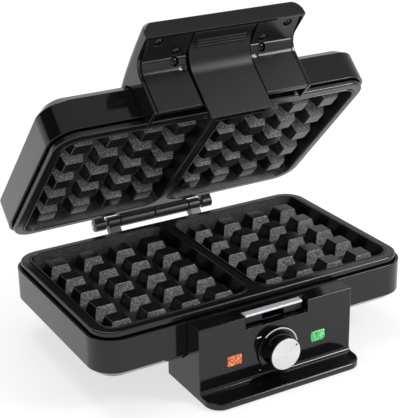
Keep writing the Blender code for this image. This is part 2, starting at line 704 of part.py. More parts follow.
def handle_screws(group):
    for side, label in ((-1, "left"), (1, "right")):
        for number, spec in enumerate(COVER_SCREWS, start=1):
            centre, direction = screw_frame(side, spec)
            name = f"handle_screw_{label}_{number}"
            profile = [(2.2, -0.5), (2.9, 0.0), (2.9, 0.9), (1.35, 0.9), (1.35, 6.4)]
            place(name, screw_mesh(name, centre, direction, profile, 14), "steel", group)


def latch_outline():
    """Cross-section of the latch: grip under the handle, curved neck, tongue and hook."""
    outer_radius = 18.0
    face = PANEL_FRONT - 1.2
    grip_z = 99.6
    centre = (face - outer_radius, grip_z - outer_radius)
    back = face + LATCH_THICK
    outer = [(HANDLE_FRONT + 3.6, grip_z + 1.2), (HANDLE_FRONT + 4.6, grip_z)]
    outer += arc(centre, outer_radius, 90, 0, 8)
    outer += [(face, 48.0), (face + 0.8, 47.2)]
    hook = [(-91.4, 47.2), (-91.0, 47.8), (-91.0, 50.4), (-93.6, 52.6), (back, 52.6)]
    inner = [(back, grip_z - outer_radius)]
    inner += arc(centre, outer_radius + LATCH_THICK, 0, 90, 8)[1:]
    inner += [(HANDLE_FRONT + 3.6, grip_z + LATCH_THICK)]
    return outer + hook + inner


def latch(group):
    item = place("latch", prism("latch", latch_outline(), -LATCH_HALF, LATCH_HALF), "housing", group)
    for low_x, high_x in ((-22.0, -14.0), (14.0, 22.0)):
        ear = [(LATCH_PIVOT[0] - 3.2, 99.4), (LATCH_PIVOT[0] + 3.2, 95.8), *arc(LATCH_PIVOT, 3.2, 0, 180, 8)]
        boolean(item, prism("ear", ear, low_x, high_x), "UNION")
    for low_x, high_x in ((-15.0, -5.0), (5.0, 15.0)):
        boolean(item, box("window", (low_x, -94.2, 46.0), (high_x, -90.0, 53.0)))
    return boolean(item, turned_solid("bore", [(1.8, -60.0), (1.8, 60.0)], LATCH_PIVOT, "x", 14))


def latch_pin(group):
    mesh = turned_solid("latch_pin", [(1.5, -31.0), (1.5, 31.0)], LATCH_PIVOT, "x", 12)
    return place("latch_pin", mesh, "steel", group)


def latch_spring(group):
    """Compression spring between the latch's grip and the roof of the handle."""
    centre_y, low, high, radius, turns, steps = -115.5, 102.9, 107.6, 2.6, 3.5, 12
    total = int(turns * steps)
    points = []
    for i in range(total + 1):
        angle = 2 * math.pi * i / steps
        z = low + (high - low) * i / total
        points.append((radius * math.cos(angle), centre_y + radius * math.sin(angle), z))
    return pipe("latch_spring", points, 0.4, "steel", group)


def main():
    clear_scene()
    ground = empty("machine", (0.0, CENTRE_Y, 0.0))
    hinge_point = (0.0, HINGE_Y, HINGE_Z)
    lid_axis = empty("lid_axis", hinge_point, ground, -LID_OPEN)
    latch_point = (0.0, *LATCH_PIVOT)
    latch_offset = [a - b for a, b in zip(latch_point, hinge_point)]
    latch_axis = empty("latch_axis", latch_offset, lid_axis)
    dial_point = (0.0, PANEL_FRONT, CONTROL_Z)
    dial_axis = empty("dial_axis", dial_point, ground)
    base = (ground, (0.0, 0.0, 0.0))
    lid = (lid_axis, hinge_point)
    grip = (latch_axis, latch_point)
    dial = (dial_axis, dial_point)

    base_housing(base)
    bottom_cover(base)
    bottom_screws(base)
    cord_inlet(base)
    baking_plate("lower_plate", BASE_TOP + RIM_RISE, 1, base)
    lower_back = BASE_TOP + RIM_RISE - CAVITY_DEPTH - PLATE_THICK
    pipe("lower_element", heater_path(lower_back - GAP - 3.2, -11.0), 3.2, "element", base)
    reflector("lower_reflector", lower_back - 9.0, 1, base)
    fuse = turned_solid("thermal_fuse", [(2.0, -6.0), (2.0, 6.0)], (20.0, lower_back - 2.6), "x", 12)
    place("thermal_fuse", fuse, "ceramic", base)
    pedestal(base)
    pedestal_insides(base)
    lamps(base)
    catch_bar(base)
    dial_plate(base)
    thermostat(base)
    feet(base)
    hinge(base, lid)

    knob(dial)
    knob_cap(dial)
    dial_spindle(dial)

    lid_housing(lid)
    baking_plate("upper_plate", LID_EDGE - RIM_RISE, -1, lid)
    upper_back = LID_EDGE - RIM_RISE + CAVITY_DEPTH + PLATE_THICK
    pipe("upper_element", heater_path(upper_back + GAP + 3.2, 8.0), 3.2, "element", lid)
    reflector("upper_reflector", upper_back + 9.0, -1, lid)
    handle_shell(lid)
    handle_covers(lid)
    handle_screws(lid)
    latch_pin(lid)
    latch_spring(lid)

    latch(grip)


main()
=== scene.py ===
"""Finished surfaces and studio for the double waffle maker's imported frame.

Metres, +Z up, front towards -Y.  Shapes are drawn in millimetres in the machine's own
frame with the lid closed; piece() puts them in the row frame and opens what the lid carries.
"""
import json
import math

import bmesh
import bpy
import numpy as np
from mathutils import Matrix, Vector

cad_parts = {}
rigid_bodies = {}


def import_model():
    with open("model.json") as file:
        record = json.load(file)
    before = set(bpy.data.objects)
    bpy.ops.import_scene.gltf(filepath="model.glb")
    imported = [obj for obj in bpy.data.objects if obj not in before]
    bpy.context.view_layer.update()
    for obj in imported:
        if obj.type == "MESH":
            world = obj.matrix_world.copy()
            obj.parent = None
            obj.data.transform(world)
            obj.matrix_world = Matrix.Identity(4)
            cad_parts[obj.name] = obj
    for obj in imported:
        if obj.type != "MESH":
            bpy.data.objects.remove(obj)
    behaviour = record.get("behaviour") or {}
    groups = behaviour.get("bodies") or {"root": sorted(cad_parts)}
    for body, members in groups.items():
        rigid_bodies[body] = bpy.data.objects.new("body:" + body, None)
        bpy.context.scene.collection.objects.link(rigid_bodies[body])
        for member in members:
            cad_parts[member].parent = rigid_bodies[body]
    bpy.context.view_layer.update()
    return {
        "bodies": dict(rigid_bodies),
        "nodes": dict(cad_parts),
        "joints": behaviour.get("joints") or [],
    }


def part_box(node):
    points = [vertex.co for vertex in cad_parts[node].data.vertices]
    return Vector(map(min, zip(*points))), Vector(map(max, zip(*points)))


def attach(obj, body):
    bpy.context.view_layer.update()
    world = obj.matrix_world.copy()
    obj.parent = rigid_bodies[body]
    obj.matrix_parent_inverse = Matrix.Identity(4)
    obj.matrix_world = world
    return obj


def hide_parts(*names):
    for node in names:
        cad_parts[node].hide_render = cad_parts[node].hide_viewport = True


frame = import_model()

MM = 0.001

# --- The frame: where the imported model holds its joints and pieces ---

JOINTS = {joint["name"]: joint for joint in frame["joints"]}
HINGE = Vector(JOINTS["lid_hinge"]["pos_m"])
LID_OPEN = -JOINTS["lid_hinge"]["range_deg"][0]
OPENING = (Matrix.Translation(HINGE) @ Matrix.Rotation(math.radians(-LID_OPEN), 4, "X")
           @ Matrix.Translation(-HINGE))
CASE_LOW, CASE_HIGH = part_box("base_housing")
CENTRE_Y = (CASE_LOW.y + CASE_HIGH.y) / 2
TO_ROW = Matrix.Translation((0.0, CENTRE_Y, 0.0)) @ Matrix.Scale(MM, 4)
ON_LID = ("lid", "latch")


def closed_box(node):
    """Lowest and highest corner of a CAD node in machine millimetres, with the lid closed."""
    held = next(body for body, empty in frame["bodies"].items() if frame["nodes"][node].parent is empty)
    back = TO_ROW.inverted() @ (OPENING.inverted() if held in ON_LID else Matrix.Identity(4))
    points = np.array([(back @ vert.co)[:] for vert in frame["nodes"][node].data.vertices])
    return Vector(points.min(0)), Vector(points.max(0))


case_low, case_high = closed_box("base_housing")
lid_low, lid_high = closed_box("lid_housing")
lower_low, lower_high = closed_box("lower_plate")
upper_low, upper_high = closed_box("upper_plate")
foot_low, foot_high = closed_box("pedestal")
shell_low, shell_high = closed_box("handle_shell")
latch_low, latch_high = closed_box("latch")
cover_low, cover_high = closed_box("handle_cover_right")
bar_low, bar_high = closed_box("catch_bar")
lens_low, lens_high = closed_box("green_lens")
disc_low, disc_high = closed_box("dial_plate")
knob_low, knob_high = closed_box("knob")
cap_low, cap_high = closed_box("knob_cap")

HALF_WIDTH = case_high.x
HALF_DEPTH = (case_high.y - case_low.y) / 2
BASE_BOTTOM = case_low.z
BASE_TOP = case_high.z
LID_EDGE = lid_low.z
LID_TOP = lid_high.z
LOWER_RIM = lower_high.z
UPPER_RIM = upper_low.z
PANEL_HALF = foot_high.x
PANEL_TOP = foot_high.z
PANEL_FRONT = (JOINTS["dial_turn"]["pos_m"][1] - CENTRE_Y) / MM
CONTROL_Z = JOINTS["dial_turn"]["pos_m"][2] / MM
FOOT_FRONT = foot_low.y
FOOT_BACK = foot_high.y
HANDLE_FRONT = shell_low.y
HANDLE_TOP = shell_high.z
SKIRT_BOTTOM = shell_low.z
LATCH_HALF = latch_high.x
LATCH_FOOT = latch_low.z
HINGE_Y = (HINGE.y - CENTRE_Y) / MM
HINGE_Z = HINGE.z / MM
GAP = 0.3
SHARP = math.radians(35)    # edges that turn further stay sharp, or are rounded

# Casings
CORNER = 20.0
CORNER_STEPS = 18
CHAMFER = 7.0
BASE_CHAMFER = 30.5
LID_CHAMFER = 89.4
WALL = 2.2

# Baking plates
RIM_INSET = 2.7
RIM_NECK = 4.6
RIM_UNDER = 4.4
RIM_ROUND = 1.3
RIM_WIDTH = 8.0
RIM_FLAT = 0.5
CAVITY_DEPTH = 12.0
CAVITY_DRAFT = 2.4
CAVITY_CORNER = 11.0
DIVIDER_HALF = 4.6
CAVITY_X = HALF_WIDTH - RIM_INSET - RIM_WIDTH    # outer end of a cavity, from the middle of the plate
CAVITY_Y = HALF_DEPTH - RIM_INSET - RIM_WIDTH
STUD_HEIGHT = 9.8
STUD_COLUMNS = 4
STUD_ROWS = 5
STUD_PITCH = (27.0, 25.9)
STUD_BASE = (19.0, 18.0)
STUD_TIP = (13.6, 12.8)

# Pedestal
FOOT_CORNER = 12.0
TOE_TOP = 5.0
TOE_FILLET = 3.4
PANEL_WALL = 2.6
SLOT_HALF = 25.7
SLOT_BOTTOM = 46.0
SLOT_BACK = -84.9
LAMP_X = (lens_low.x + lens_high.x) / 2
LENS_COLUMNS = 9
LENS_ROWS = 6

# Catch
STRIP_THICK = 1.6
STRIP_SHORT = 3.4           # how far the strip's right end stops before its CAD body's
TAB_SPANS = {"left": (-24.0, -9.0), "right": (9.0, 24.0)}
TAB_FRONT = -90.2
TAB_BACK = -88.7
TAB_DROP = 1.2

# Dial: angles in degrees about its axis, from the right
SPINDLE_BORE = 4.2
SCALE_START = 5.0
SCALE_END = 133.0
SCALE_STEPS = 64
SCALE_HALF = 0.5
POINTER_ANGLE = 33.0
POINTER_REACH = 10.2
# Printed marks on the panel: name, distance from the axis, angle, and half sizes
PANEL_MARKS = [("scale_off_mark", 19.5, 141.0, (1.9, 0.5)), ("scale_off_dot", 19.9, 224.0, (0.5, 0.5))]

# Hinge: knuckles from start to end along X
BARREL = 4.9
PIN_BORE = 2.5
PIN_RADIUS = 2.2
PIN_HALF = 54.4
BASE_KNUCKLES = [(-41.9, -31.8), (31.8, 41.9)]
LID_KNUCKLES = [(-53.5, -44.4), (-30.9, -0.5), (0.5, 30.9), (44.4, 53.5)]

# Handle and latch
HANDLE_ROUND = 8.0
HANDLE_WALL = 2.6
HANDLE_ARCH = [(-52.0, 101.4), (-62.0, 104.2), (-76.0, 107.2), (-92.0, 109.6), (-108.0, 111.4)]
LIP_BOTTOM = 99.6
LATCH_PIVOT = (-104.0, 103.6)
LATCH_THICK = 2.4
LATCH_BEND = 18.0
LATCH_BORE = 1.8
GRIP_Z = 99.6
GRIP_RIBS = [(-112.5, 0.15), (-109.9, 0.8), (-107.6, 1.7)]     # y, and the drop below the grip
EAR_SPANS = [(-22.0, -14.0), (14.0, 22.0)]
HOOK_POCKETS = [(-19.4, -8.9), (-8.1, 8.1), (8.9, 19.4)]
# Screws of a handle cover: x, y and z of the head, and the lean of the shank in degrees
COVER_SCREWS = [(51.2, -117.7, 99.8, 12.6), (34.8, -106.4, 97.2, 12.6), (35.2, -98.7, 94.1, 52.0)]


# --- Outlines ---

def rounded(corners, closed=True, step=15.0):
    """Outline through (u, v, radius) corners; every radius above zero becomes an arc."""
    points = []
    count = len(corners)
    for i, (u, v, radius) in enumerate(corners):
        here = Vector((u, v))
        if radius <= 0.0 or (not closed and i in (0, count - 1)):
            points.append((u, v))
            continue
        before = (Vector(corners[i - 1][:2]) - here).normalized()
        after = (Vector(corners[(i + 1) % count][:2]) - here).normalized()
        half = before.angle(after) / 2
        centre = here + (before + after).normalized() * radius / math.sin(half)
        start = here + before * radius / math.tan(half) - centre
        end = here + after * radius / math.tan(half) - centre
        turn = math.atan2(start.x * end.y - start.y * end.x, start.dot(end))
        pieces = max(2, math.ceil(abs(math.degrees(turn)) / step))
        for k in range(pieces + 1):
            spot = centre + Matrix.Rotation(turn * k / pieces, 2) @ start
            points.append((spot.x, spot.y))
    return points


def arc(centre, radius, start, end, steps):
    """Points on an arc between two angles in degrees."""
    points = []
    for step in range(steps + 1):
        angle = math.radians(start + (end - start) * step / steps)
        points.append((centre[0] + radius * math.cos(angle), centre[1] + radius * math.sin(angle)))
    return points


def ring(half_x, half_y, radius, z, centre=(0.0, 0.0), steps=CORNER_STEPS):
    """Rounded rectangle in plan, counter-clockwise from the right."""
    points = []
    for side_x, side_y, start in ((1, 1, 0), (-1, 1, 90), (-1, -1, 180), (1, -1, 270)):
        middle = (centre[0] + side_x * (half_x - radius), centre[1] + side_y * (half_y - radius))
        points += [(x, y, z) for x, y in arc(middle, radius, start, start + 90, steps)]
    return points


def case_ring(inset, z):
    """The casings' outline drawn in by inset, at height z."""
    return ring(HALF_WIDTH - inset, HALF_DEPTH - inset, max(CORNER - inset, 2.0), z)


# --- Meshes ---

def mesh_from(bm, name):
    """Mesh of a finished bmesh, with its faces turned outwards."""
    bmesh.ops.remove_doubles(bm, verts=bm.verts, dist=0.002)
    bmesh.ops.recalc_face_normals(bm, faces=bm.faces)
    mesh = bpy.data.meshes.new(name)
    bm.to_mesh(mesh)
    bm.free()
    return mesh


def skin(bm, rings, closed=False, caps=(True, True)):
    """Quads between rings with the same number of points, and filled ends unless closed."""
    rows = [[bm.verts.new(p) for p in points] for points in rings]
    pairs = list(zip(rows, rows[1:]))
    if closed:
        pairs.append((rows[-1], rows[0]))
    for row, wanted in zip((rows[0], rows[-1]), caps):
        if wanted and not closed:
            bm.faces.new(row)
    for lower, upper in pairs:
        for i in range(len(lower)):
            j = (i + 1) % len(lower)
            bm.faces.new((lower[i], lower[j], upper[j], upper[i]))
    return rows


def loft(name, rings, closed=False):
    """Mesh skinned over rings."""
    bm = bmesh.new()
    skin(bm, rings, closed)
    return mesh_from(bm, name)


def prism(name, outline, start, end, axis="x"):
    """Extrude (u, v) points: axis x takes (y, z), y takes (x, z) and z takes (x, y)."""
    order = {"x": lambda u, v, t: (t, u, v), "y": lambda u, v, t: (u, t, v), "z": lambda u, v, t: (u, v, t)}
    make = order[axis]
    return loft(name, [[make(u, v, t) for u, v in outline] for t in (start, end)])


def box(name, low, high):
    outline = [(low[0], low[1]), (high[0], low[1]), (high[0], high[1]), (low[0], high[1])]
    return prism(name, outline, low[2], high[2], "z")


def turned(name, profile, centre, axis, sides, closed=False):
    """Revolve (radius, position along axis) points about an axis through centre."""
    order = {
        "x": lambda c, s, t: (t, centre[0] + c, centre[1] + s),
        "y": lambda c, s, t: (centre[0] + c, t, centre[1] + s),
        "z": lambda c, s, t: (centre[0] + c, centre[1] + s, t),
    }
    make = order[axis]
    angles = [2 * math.pi * i / sides for i in range(sides)]
    rings = [[make(r * math.cos(a), r * math.sin(a), t) for a in angles] for r, t in profile]
    return loft(name, rings, closed)


def carve(mesh, *tools, operation="DIFFERENCE"):
    """The mesh after an exact boolean with each tool in turn."""
    for tool in tools:
        pair = [bpy.data.objects.new(label, data) for label, data in (("work", mesh), ("tool", tool))]
        for item in pair:
            bpy.context.scene.collection.objects.link(item)
        modifier = pair[0].modifiers.new("cut", "BOOLEAN")
        modifier.operation = operation
        modifier.solver = "EXACT"
        modifier.object = pair[1]
        graph = bpy.context.evaluated_depsgraph_get()
        mesh = bpy.data.meshes.new_from_object(pair[0].evaluated_get(graph))
        for item in pair:
            bpy.data.objects.remove(item)
    return mesh


def join(mesh, *tools):
    """The mesh with each tool added to it."""
    return carve(mesh, *tools, operation="UNION")


def soften(item, edge):
    """Round the hard edges and keep the flats flat in the shading."""
    if edge:
        bevel = item.modifiers.new("edges", "BEVEL")
        bevel.width = edge * MM
        bevel.segments = 2
        bevel.limit_method = "ANGLE"
        bevel.angle_limit = SHARP
        bevel.use_clamp_overlap = False
        bevel.miter_outer = "MITER_ARC"
    normals = item.modifiers.new("normals", "WEIGHTED_NORMAL")
    normals.keep_sharp = True


def piece(name, mesh, finish, body, stands_for=(), edge=0.0, clean=True):
    """Put a mesh drawn in machine millimetres on its body, in place of its CAD nodes."""
    bm = bmesh.new()
    bm.from_mesh(mesh)
    if clean:
        bmesh.ops.remove_doubles(bm, verts=bm.verts, dist=0.01)
        bmesh.ops.dissolve_limit(bm, angle_limit=math.radians(0.4), verts=bm.verts, edges=bm.edges)
    bm.to_mesh(mesh)
    bm.free()
    mesh.transform(OPENING @ TO_ROW if body in ON_LID else TO_ROW)
    mesh.name = name
    mesh.shade_smooth()
    mesh.set_sharp_from_angle(angle=SHARP)
    mesh.materials.clear()
    mesh.materials.append(finish)
    item = bpy.data.objects.new(name, mesh)
    bpy.context.scene.collection.objects.link(item)
    soften(item, edge)
    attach(item, body)
    for node in stands_for:
        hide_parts(node)
    return item


def refinish(node, finish, edge):
    """Keep a CAD node as it is, with a finished material and rounded edges."""
    item = frame["nodes"][node]
    item.data.materials.clear()
    item.data.materials.append(finish)
    weld = item.modifiers.new("weld", "WELD")
    weld.merge_threshold = 0.00001
    item.data.shade_smooth()
    item.data.set_sharp_from_angle(angle=SHARP)
    soften(item, edge)


# --- Materials ---

def add(tree, kind, settings=None, **inputs):
    """A shader node with its settings and inputs; an input is a value or another node's socket."""
    node = tree.nodes.new("ShaderNode" + kind)
    for key, value in (settings or {}).items():
        setattr(node, key, value)
    for key, value in inputs.items():
        feed(tree, node.inputs[key.replace("_", " ")], value)
    return node


def feed(tree, socket, value):
    """Link another node's socket, or set a plain value."""
    if isinstance(value, bpy.types.NodeSocket):
        tree.links.new(value, socket)
    else:
        socket.default_value = value


def blank(name, colour, roughness, metallic=0.0, **values):
    """A Principled material; returns it with its tree, its shader and object coordinates."""
    made = bpy.data.materials.new(name)
    made.use_nodes = True
    tree = made.node_tree
    shader = tree.nodes["Principled BSDF"]
    shader.inputs["Base Color"].default_value = (*colour, 1.0)
    shader.inputs["Roughness"].default_value = roughness
    shader.inputs["Metallic"].default_value = metallic
    for key, value in values.items():
        shader.inputs[key.replace("_", " ")].default_value = value
    return made, tree, shader, add(tree, "TexCoord").outputs["Object"]


def noise(tree, point, scale, detail=2.0, roughness=0.5):
    """Soft noise, mostly between 0.3 and 0.7."""
    return add(tree, "TexNoise", Vector=point, Scale=scale, Detail=detail, Roughness=roughness).outputs["Fac"]


def spread(tree, value, low, high, start=0.3, end=0.7):
    """Map start..end of a value to low..high."""
    node = add(tree, "MapRange", Value=value, From_Min=start, From_Max=end, To_Min=low, To_Max=high)
    return node.outputs["Result"]


def tint(tree, share, first, second):
    """Mix two colours; each is three numbers or another node's socket."""
    node = add(tree, "Mix", {"data_type": "RGBA"})
    colours = [socket for socket in node.inputs if socket.type == "RGBA"]
    for socket, colour in zip(colours, (first, second)):
        if isinstance(colour, bpy.types.NodeSocket):
            tree.links.new(colour, socket)
        else:
            socket.default_value = (*colour, 1.0)
    tree.links.new(share, node.inputs["Factor"])
    return next(socket for socket in node.outputs if socket.type == "RGBA")


def bump(tree, height, strength, depth, below=None):
    """Bump of a depth in millimetres, on top of another bump if one is given."""
    node = add(tree, "Bump", Height=height, Strength=strength, Distance=depth * MM)
    if below:
        tree.links.new(below, node.inputs["Normal"])
    return node.outputs["Normal"]


def stretched(tree, point, scale):
    """Coordinates scaled on each axis, which draws noise out into lines."""
    return add(tree, "Mapping", Vector=point, Scale=scale).outputs["Vector"]


def edge_wear(tree):
    """0 on the flats, 1 on worn outer edges."""
    return spread(tree, add(tree, "NewGeometry").outputs["Pointiness"], 0.0, 1.0, 0.52, 0.62)


def moulded(name, colour, lighter, rough, grain, depth, shine):
    """Black moulded plastic: smudged gloss, faint sink marks, fine grain and rubbed edges."""
    made, tree, shader, point = blank(name, colour, rough[0], Specular_IOR_Level=shine)
    tone = noise(tree, point, 11.0, 3.0)
    rubbed = edge_wear(tree)
    body = tint(tree, spread(tree, tone, 0.0, 1.0), colour, lighter)
    worn = [min(1.0, 2.2 * value) for value in lighter]
    feed(tree, shader.inputs["Base Color"], tint(tree, rubbed, body, worn))
    smudge = noise(tree, point, 34.0, 5.0, 0.62)
    feed(tree, shader.inputs["Roughness"], spread(tree, smudge, *rough))
    hairline = noise(tree, stretched(tree, point, (9.0, 260.0, 260.0)), 6.0, 6.0, 0.7)
    waves = bump(tree, noise(tree, point, 42.0, 1.0), 0.05, 0.5)
    scored = bump(tree, hairline, 0.03, 0.02, waves)
    feed(tree, shader.inputs["Normal"], bump(tree, noise(tree, point, grain, 3.0), depth[0], depth[1], scored))
    return made


def coated_casting(name, deep, pale, specks):
    """Speckled non-stick coating over a sand-like cast surface."""
    made, tree, shader, point = blank(name, (pale, pale, pale), 0.45, Specular_IOR_Level=0.5)
    grain = noise(tree, point, 820.0, 3.0, 0.75)
    speck = noise(tree, point, 1900.0, 1.0, 0.5)
    mottle = noise(tree, point, 60.0, 3.0)
    dark = tint(tree, spread(tree, mottle, 0.0, 1.0), [deep] * 3, [deep * 1.7] * 3)
    grey = tint(tree, spread(tree, grain, 0.0, 1.0, 0.44, 0.60), dark, [pale] * 3)
    speckled = tint(tree, spread(tree, speck, 0.0, 1.0, 0.56, 0.68), grey, [specks] * 3)
    feed(tree, shader.inputs["Base Color"], speckled)
    feed(tree, shader.inputs["Roughness"], spread(tree, mottle, 0.36, 0.48))
    rough = bump(tree, grain, 0.7, 0.22)
    feed(tree, shader.inputs["Normal"], bump(tree, speck, 0.4, 0.08, rough))
    return made


def steel(name, colour, rough, lines, metallic=1.0):
    """Drawn metal with fine lines along one direction."""
    made, tree, shader, point = blank(name, colour, rough[0], metallic)
    along = noise(tree, stretched(tree, point, lines), 1.0, 4.0, 0.65)
    feed(tree, shader.inputs["Roughness"], spread(tree, along, *rough))
    darker = [value * 0.72 for value in colour]
    feed(tree, shader.inputs["Base Color"], tint(tree, spread(tree, along, 0.0, 1.0), darker, colour))
    feed(tree, shader.inputs["Normal"], bump(tree, along, 0.25, 0.05))
    return made


def spun_aluminium():
    """Face turned on a lathe: fine circles about the dial's axis."""
    made, tree, shader, point = blank("spun_aluminium", (0.78, 0.78, 0.785), 0.3, 1.0, Anisotropic=0.75)
    centre = (0.0, -CENTRE_Y, -CONTROL_Z * MM)
    moved = add(tree, "Mapping", Vector=point, Location=centre).outputs["Vector"]
    flat = add(tree, "VectorMath", {"operation": "MULTIPLY"})
    tree.links.new(moved, flat.inputs[0])
    flat.inputs[1].default_value = (1.0, 0.0, 1.0)
    reach = add(tree, "VectorMath", {"operation": "LENGTH"})
    tree.links.new(flat.outputs[0], reach.inputs[0])
    groove = add(tree, "TexNoise", {"noise_dimensions": "1D"}, W=reach.outputs["Value"], Scale=5200.0, Detail=3.0)
    tangent = add(tree, "Tangent", {"direction_type": "RADIAL", "axis": "Y"})
    feed(tree, shader.inputs["Tangent"], tangent.outputs["Tangent"])
    feed(tree, shader.inputs["Roughness"], spread(tree, groove.outputs["Fac"], 0.24, 0.38))
    feed(tree, shader.inputs["Normal"], bump(tree, groove.outputs["Fac"], 0.12, 0.03))
    return made


def lamp_lens(name, deep, bright, glow):
    """Lit lens: brightest in the middle of each prism, deeper in the joints."""
    made, tree, shader, point = blank(name, deep, 0.14, 0.0, IOR=1.49, Coat_Weight=0.4, Coat_Roughness=0.08)
    cells = add(tree, "TexVoronoi", Vector=point, Scale=900.0).outputs["Distance"]
    cloud = noise(tree, point, 420.0, 2.0)
    share = add(tree, "Math", {"operation": "MULTIPLY"})
    tree.links.new(spread(tree, cells, 1.0, 0.0, 0.1, 0.6), share.inputs[0])
    tree.links.new(spread(tree, cloud, 0.25, 1.3, 0.35, 0.65), share.inputs[1])
    colour = tint(tree, share.outputs[0], deep, bright)
    feed(tree, shader.inputs["Base Color"], colour)
    feed(tree, shader.inputs["Emission Color"], colour)
    shader.inputs["Emission Strength"].default_value = glow
    return made


def printed_ink():
    """Grey print with a patchy, slightly raised film."""
    made, tree, shader, point = blank("printed_grey_ink", (0.62, 0.63, 0.66), 0.4)
    patch = noise(tree, point, 1800.0, 2.0)
    feed(tree, shader.inputs["Base Color"], tint(tree, patch, (0.50, 0.51, 0.54), (0.74, 0.75, 0.78)))
    feed(tree, shader.inputs["Normal"], bump(tree, patch, 0.1, 0.02))
    return made


def plain(name, colour, rough, grain, depth=0.08, metallic=0.0):
    """Small hidden parts: mottled colour and roughness with a light grain."""
    made, tree, shader, point = blank(name, colour, rough, metallic)
    patch = noise(tree, point, grain, 3.0)
    feed(tree, shader.inputs["Base Color"], tint(tree, patch, [v * 0.75 for v in colour], colour))
    feed(tree, shader.inputs["Roughness"], spread(tree, patch, rough * 0.85, min(1.0, rough * 1.15)))
    feed(tree, shader.inputs["Normal"], bump(tree, patch, 0.3, depth))
    return made


def lamp_glass():
    """Clear glass of the neon lamps, lightly smudged."""
    made, tree, shader, point = blank("lamp_glass", (0.9, 0.86, 0.8), 0.08, 0.0, Transmission_Weight=0.8)
    feed(tree, shader.inputs["Roughness"], spread(tree, noise(tree, point, 500.0), 0.05, 0.14))
    return made


GLOSS = moulded("black_gloss", (0.0026, 0.0026, 0.0029), (0.0044, 0.0044, 0.0048),
                (0.05, 0.12), 1500.0, (0.04, 0.02), 0.46)
SATIN = moulded("black_satin", (0.0045, 0.0045, 0.005), (0.0065, 0.0065, 0.007),
                (0.20, 0.25), 1900.0, (0.10, 0.03), 0.42)
# Smooth coating of the plates' rim; on the stud flanks and ends the same darker finish is painted shade
POLISHED_RIM_AND_SHADED_STUDS = moulded("polished_rim_and_painted_shade_studs", (0.004, 0.004, 0.0044), (0.0075, 0.0075, 0.008),
                   (0.17, 0.27), 1300.0, (0.25, 0.04), 0.5)
FROSTED = moulded("black_frosted", (0.006, 0.006, 0.0066), (0.008, 0.008, 0.0086),
                  (0.33, 0.38), 2100.0, (0.16, 0.04), 0.24)
COATING = coated_casting("non_stick_casting", 0.004, 0.028, 0.15)
# Lighter copy of the coating for the studs' front and back faces: painted light where those faces catch the light; its
# speckle is the coating's own
LIT_STUD_FACE_COATING = coated_casting("stud_face_painted_light", 0.012, 0.14, 0.55)
BAR_STEEL = steel("catch_steel", (0.86, 0.86, 0.92), (0.34, 0.5), (14.0, 2600.0, 2600.0), 0.6)
TAB_STEEL = steel("tab_steel", (0.032, 0.032, 0.035), (0.40, 0.54), (2200.0, 2200.0, 20.0), 0.3)
SCREW_STEEL = steel("screw_steel", (0.50, 0.50, 0.52), (0.2, 0.34), (2400.0, 2400.0, 300.0))
BLACK_SCREW = steel("black_screw", (0.045, 0.045, 0.05), (0.16, 0.26), (2400.0, 2400.0, 300.0))
HINGE_METAL = steel("hinge_metal", (0.095, 0.095, 0.105), (0.22, 0.34), (30.0, 1800.0, 1800.0), 0.7)
PAN_STEEL = steel("reflector_steel", (0.62, 0.62, 0.63), (0.28, 0.42), (40.0, 900.0, 900.0))
ELEMENT = plain("element_sheath", (0.16, 0.15, 0.14), 0.5, 900.0, 0.1, 0.8)
ALUMINIUM = spun_aluminium()
INK = printed_ink()
RUBBER = plain("rubber", (0.022, 0.022, 0.022), 0.75, 1400.0)
CERAMIC = plain("ceramic", (0.80, 0.78, 0.72), 0.55, 700.0)
INNER = plain("inner_plastic", (0.035, 0.035, 0.038), 0.42, 1200.0)
GLASS = lamp_glass()
ORANGE = lamp_lens("orange_lens_lit", (0.42, 0.045, 0.008), (1.0, 0.56, 0.26), 0.42)
GREEN = lamp_lens("green_lens_lit", (0.008, 0.30, 0.05), (0.33, 1.0, 0.52), 0.42)
POINTER = plain("pointer_black", (0.01, 0.01, 0.01), 0.35, 900.0)


# --- Casings ---

def base_shell():
    """Tray with a chamfer and a narrow flange round the open bottom, and the cord inlet's hole."""
    flange = 13.0
    floor = BASE_BOTTOM + 2.5
    section = rounded([
        (flange, BASE_BOTTOM, 0.3), (CHAMFER, BASE_BOTTOM, 0.8), (0.0, BASE_CHAMFER, 0.8),
        (0.0, BASE_TOP, 0.5), (WALL, BASE_TOP, 0.5), (WALL, BASE_CHAMFER + 1.2, 0.8),
        (CHAMFER + 1.8, floor, 0.8), (flange, floor, 0.3),
    ], step=22.0)
    mesh = loft("base_shell", [case_ring(inset, z) for inset, z in section], closed=True)
    inlet_low, inlet_high = closed_box("cord_inlet")
    inlet = ((inlet_low.x + inlet_high.x) / 2, (inlet_low.z + inlet_high.z) / 2)
    hole = turned("inlet", [(5.2, HALF_DEPTH - 9.0), (5.2, HALF_DEPTH + 9.0)], inlet, "y", 40)
    piece("base_shell", carve(mesh, hole), GLOSS, "base", ["base_housing"], clean=False)


def lid_shell():
    """The base's mirror image with a closed top."""
    middle = 60.0
    ceiling = LID_TOP - 2.5
    section = rounded([
        (middle, LID_TOP, 0.0), (CHAMFER, LID_TOP, 1.2), (0.0, LID_CHAMFER, 1.2), (0.0, LID_EDGE, 0.5),
        (WALL, LID_EDGE, 0.5), (WALL, LID_CHAMFER - 1.2, 0.8), (CHAMFER + 0.8, ceiling, 0.8),
        (middle, ceiling, 0.0),
    ], closed=False, step=18.0)
    mesh = loft("lid_shell", [case_ring(inset, z) for inset, z in section])
    piece("lid_shell", mesh, GLOSS, "lid", ["lid_housing"], clean=False)


# --- Baking plates ---

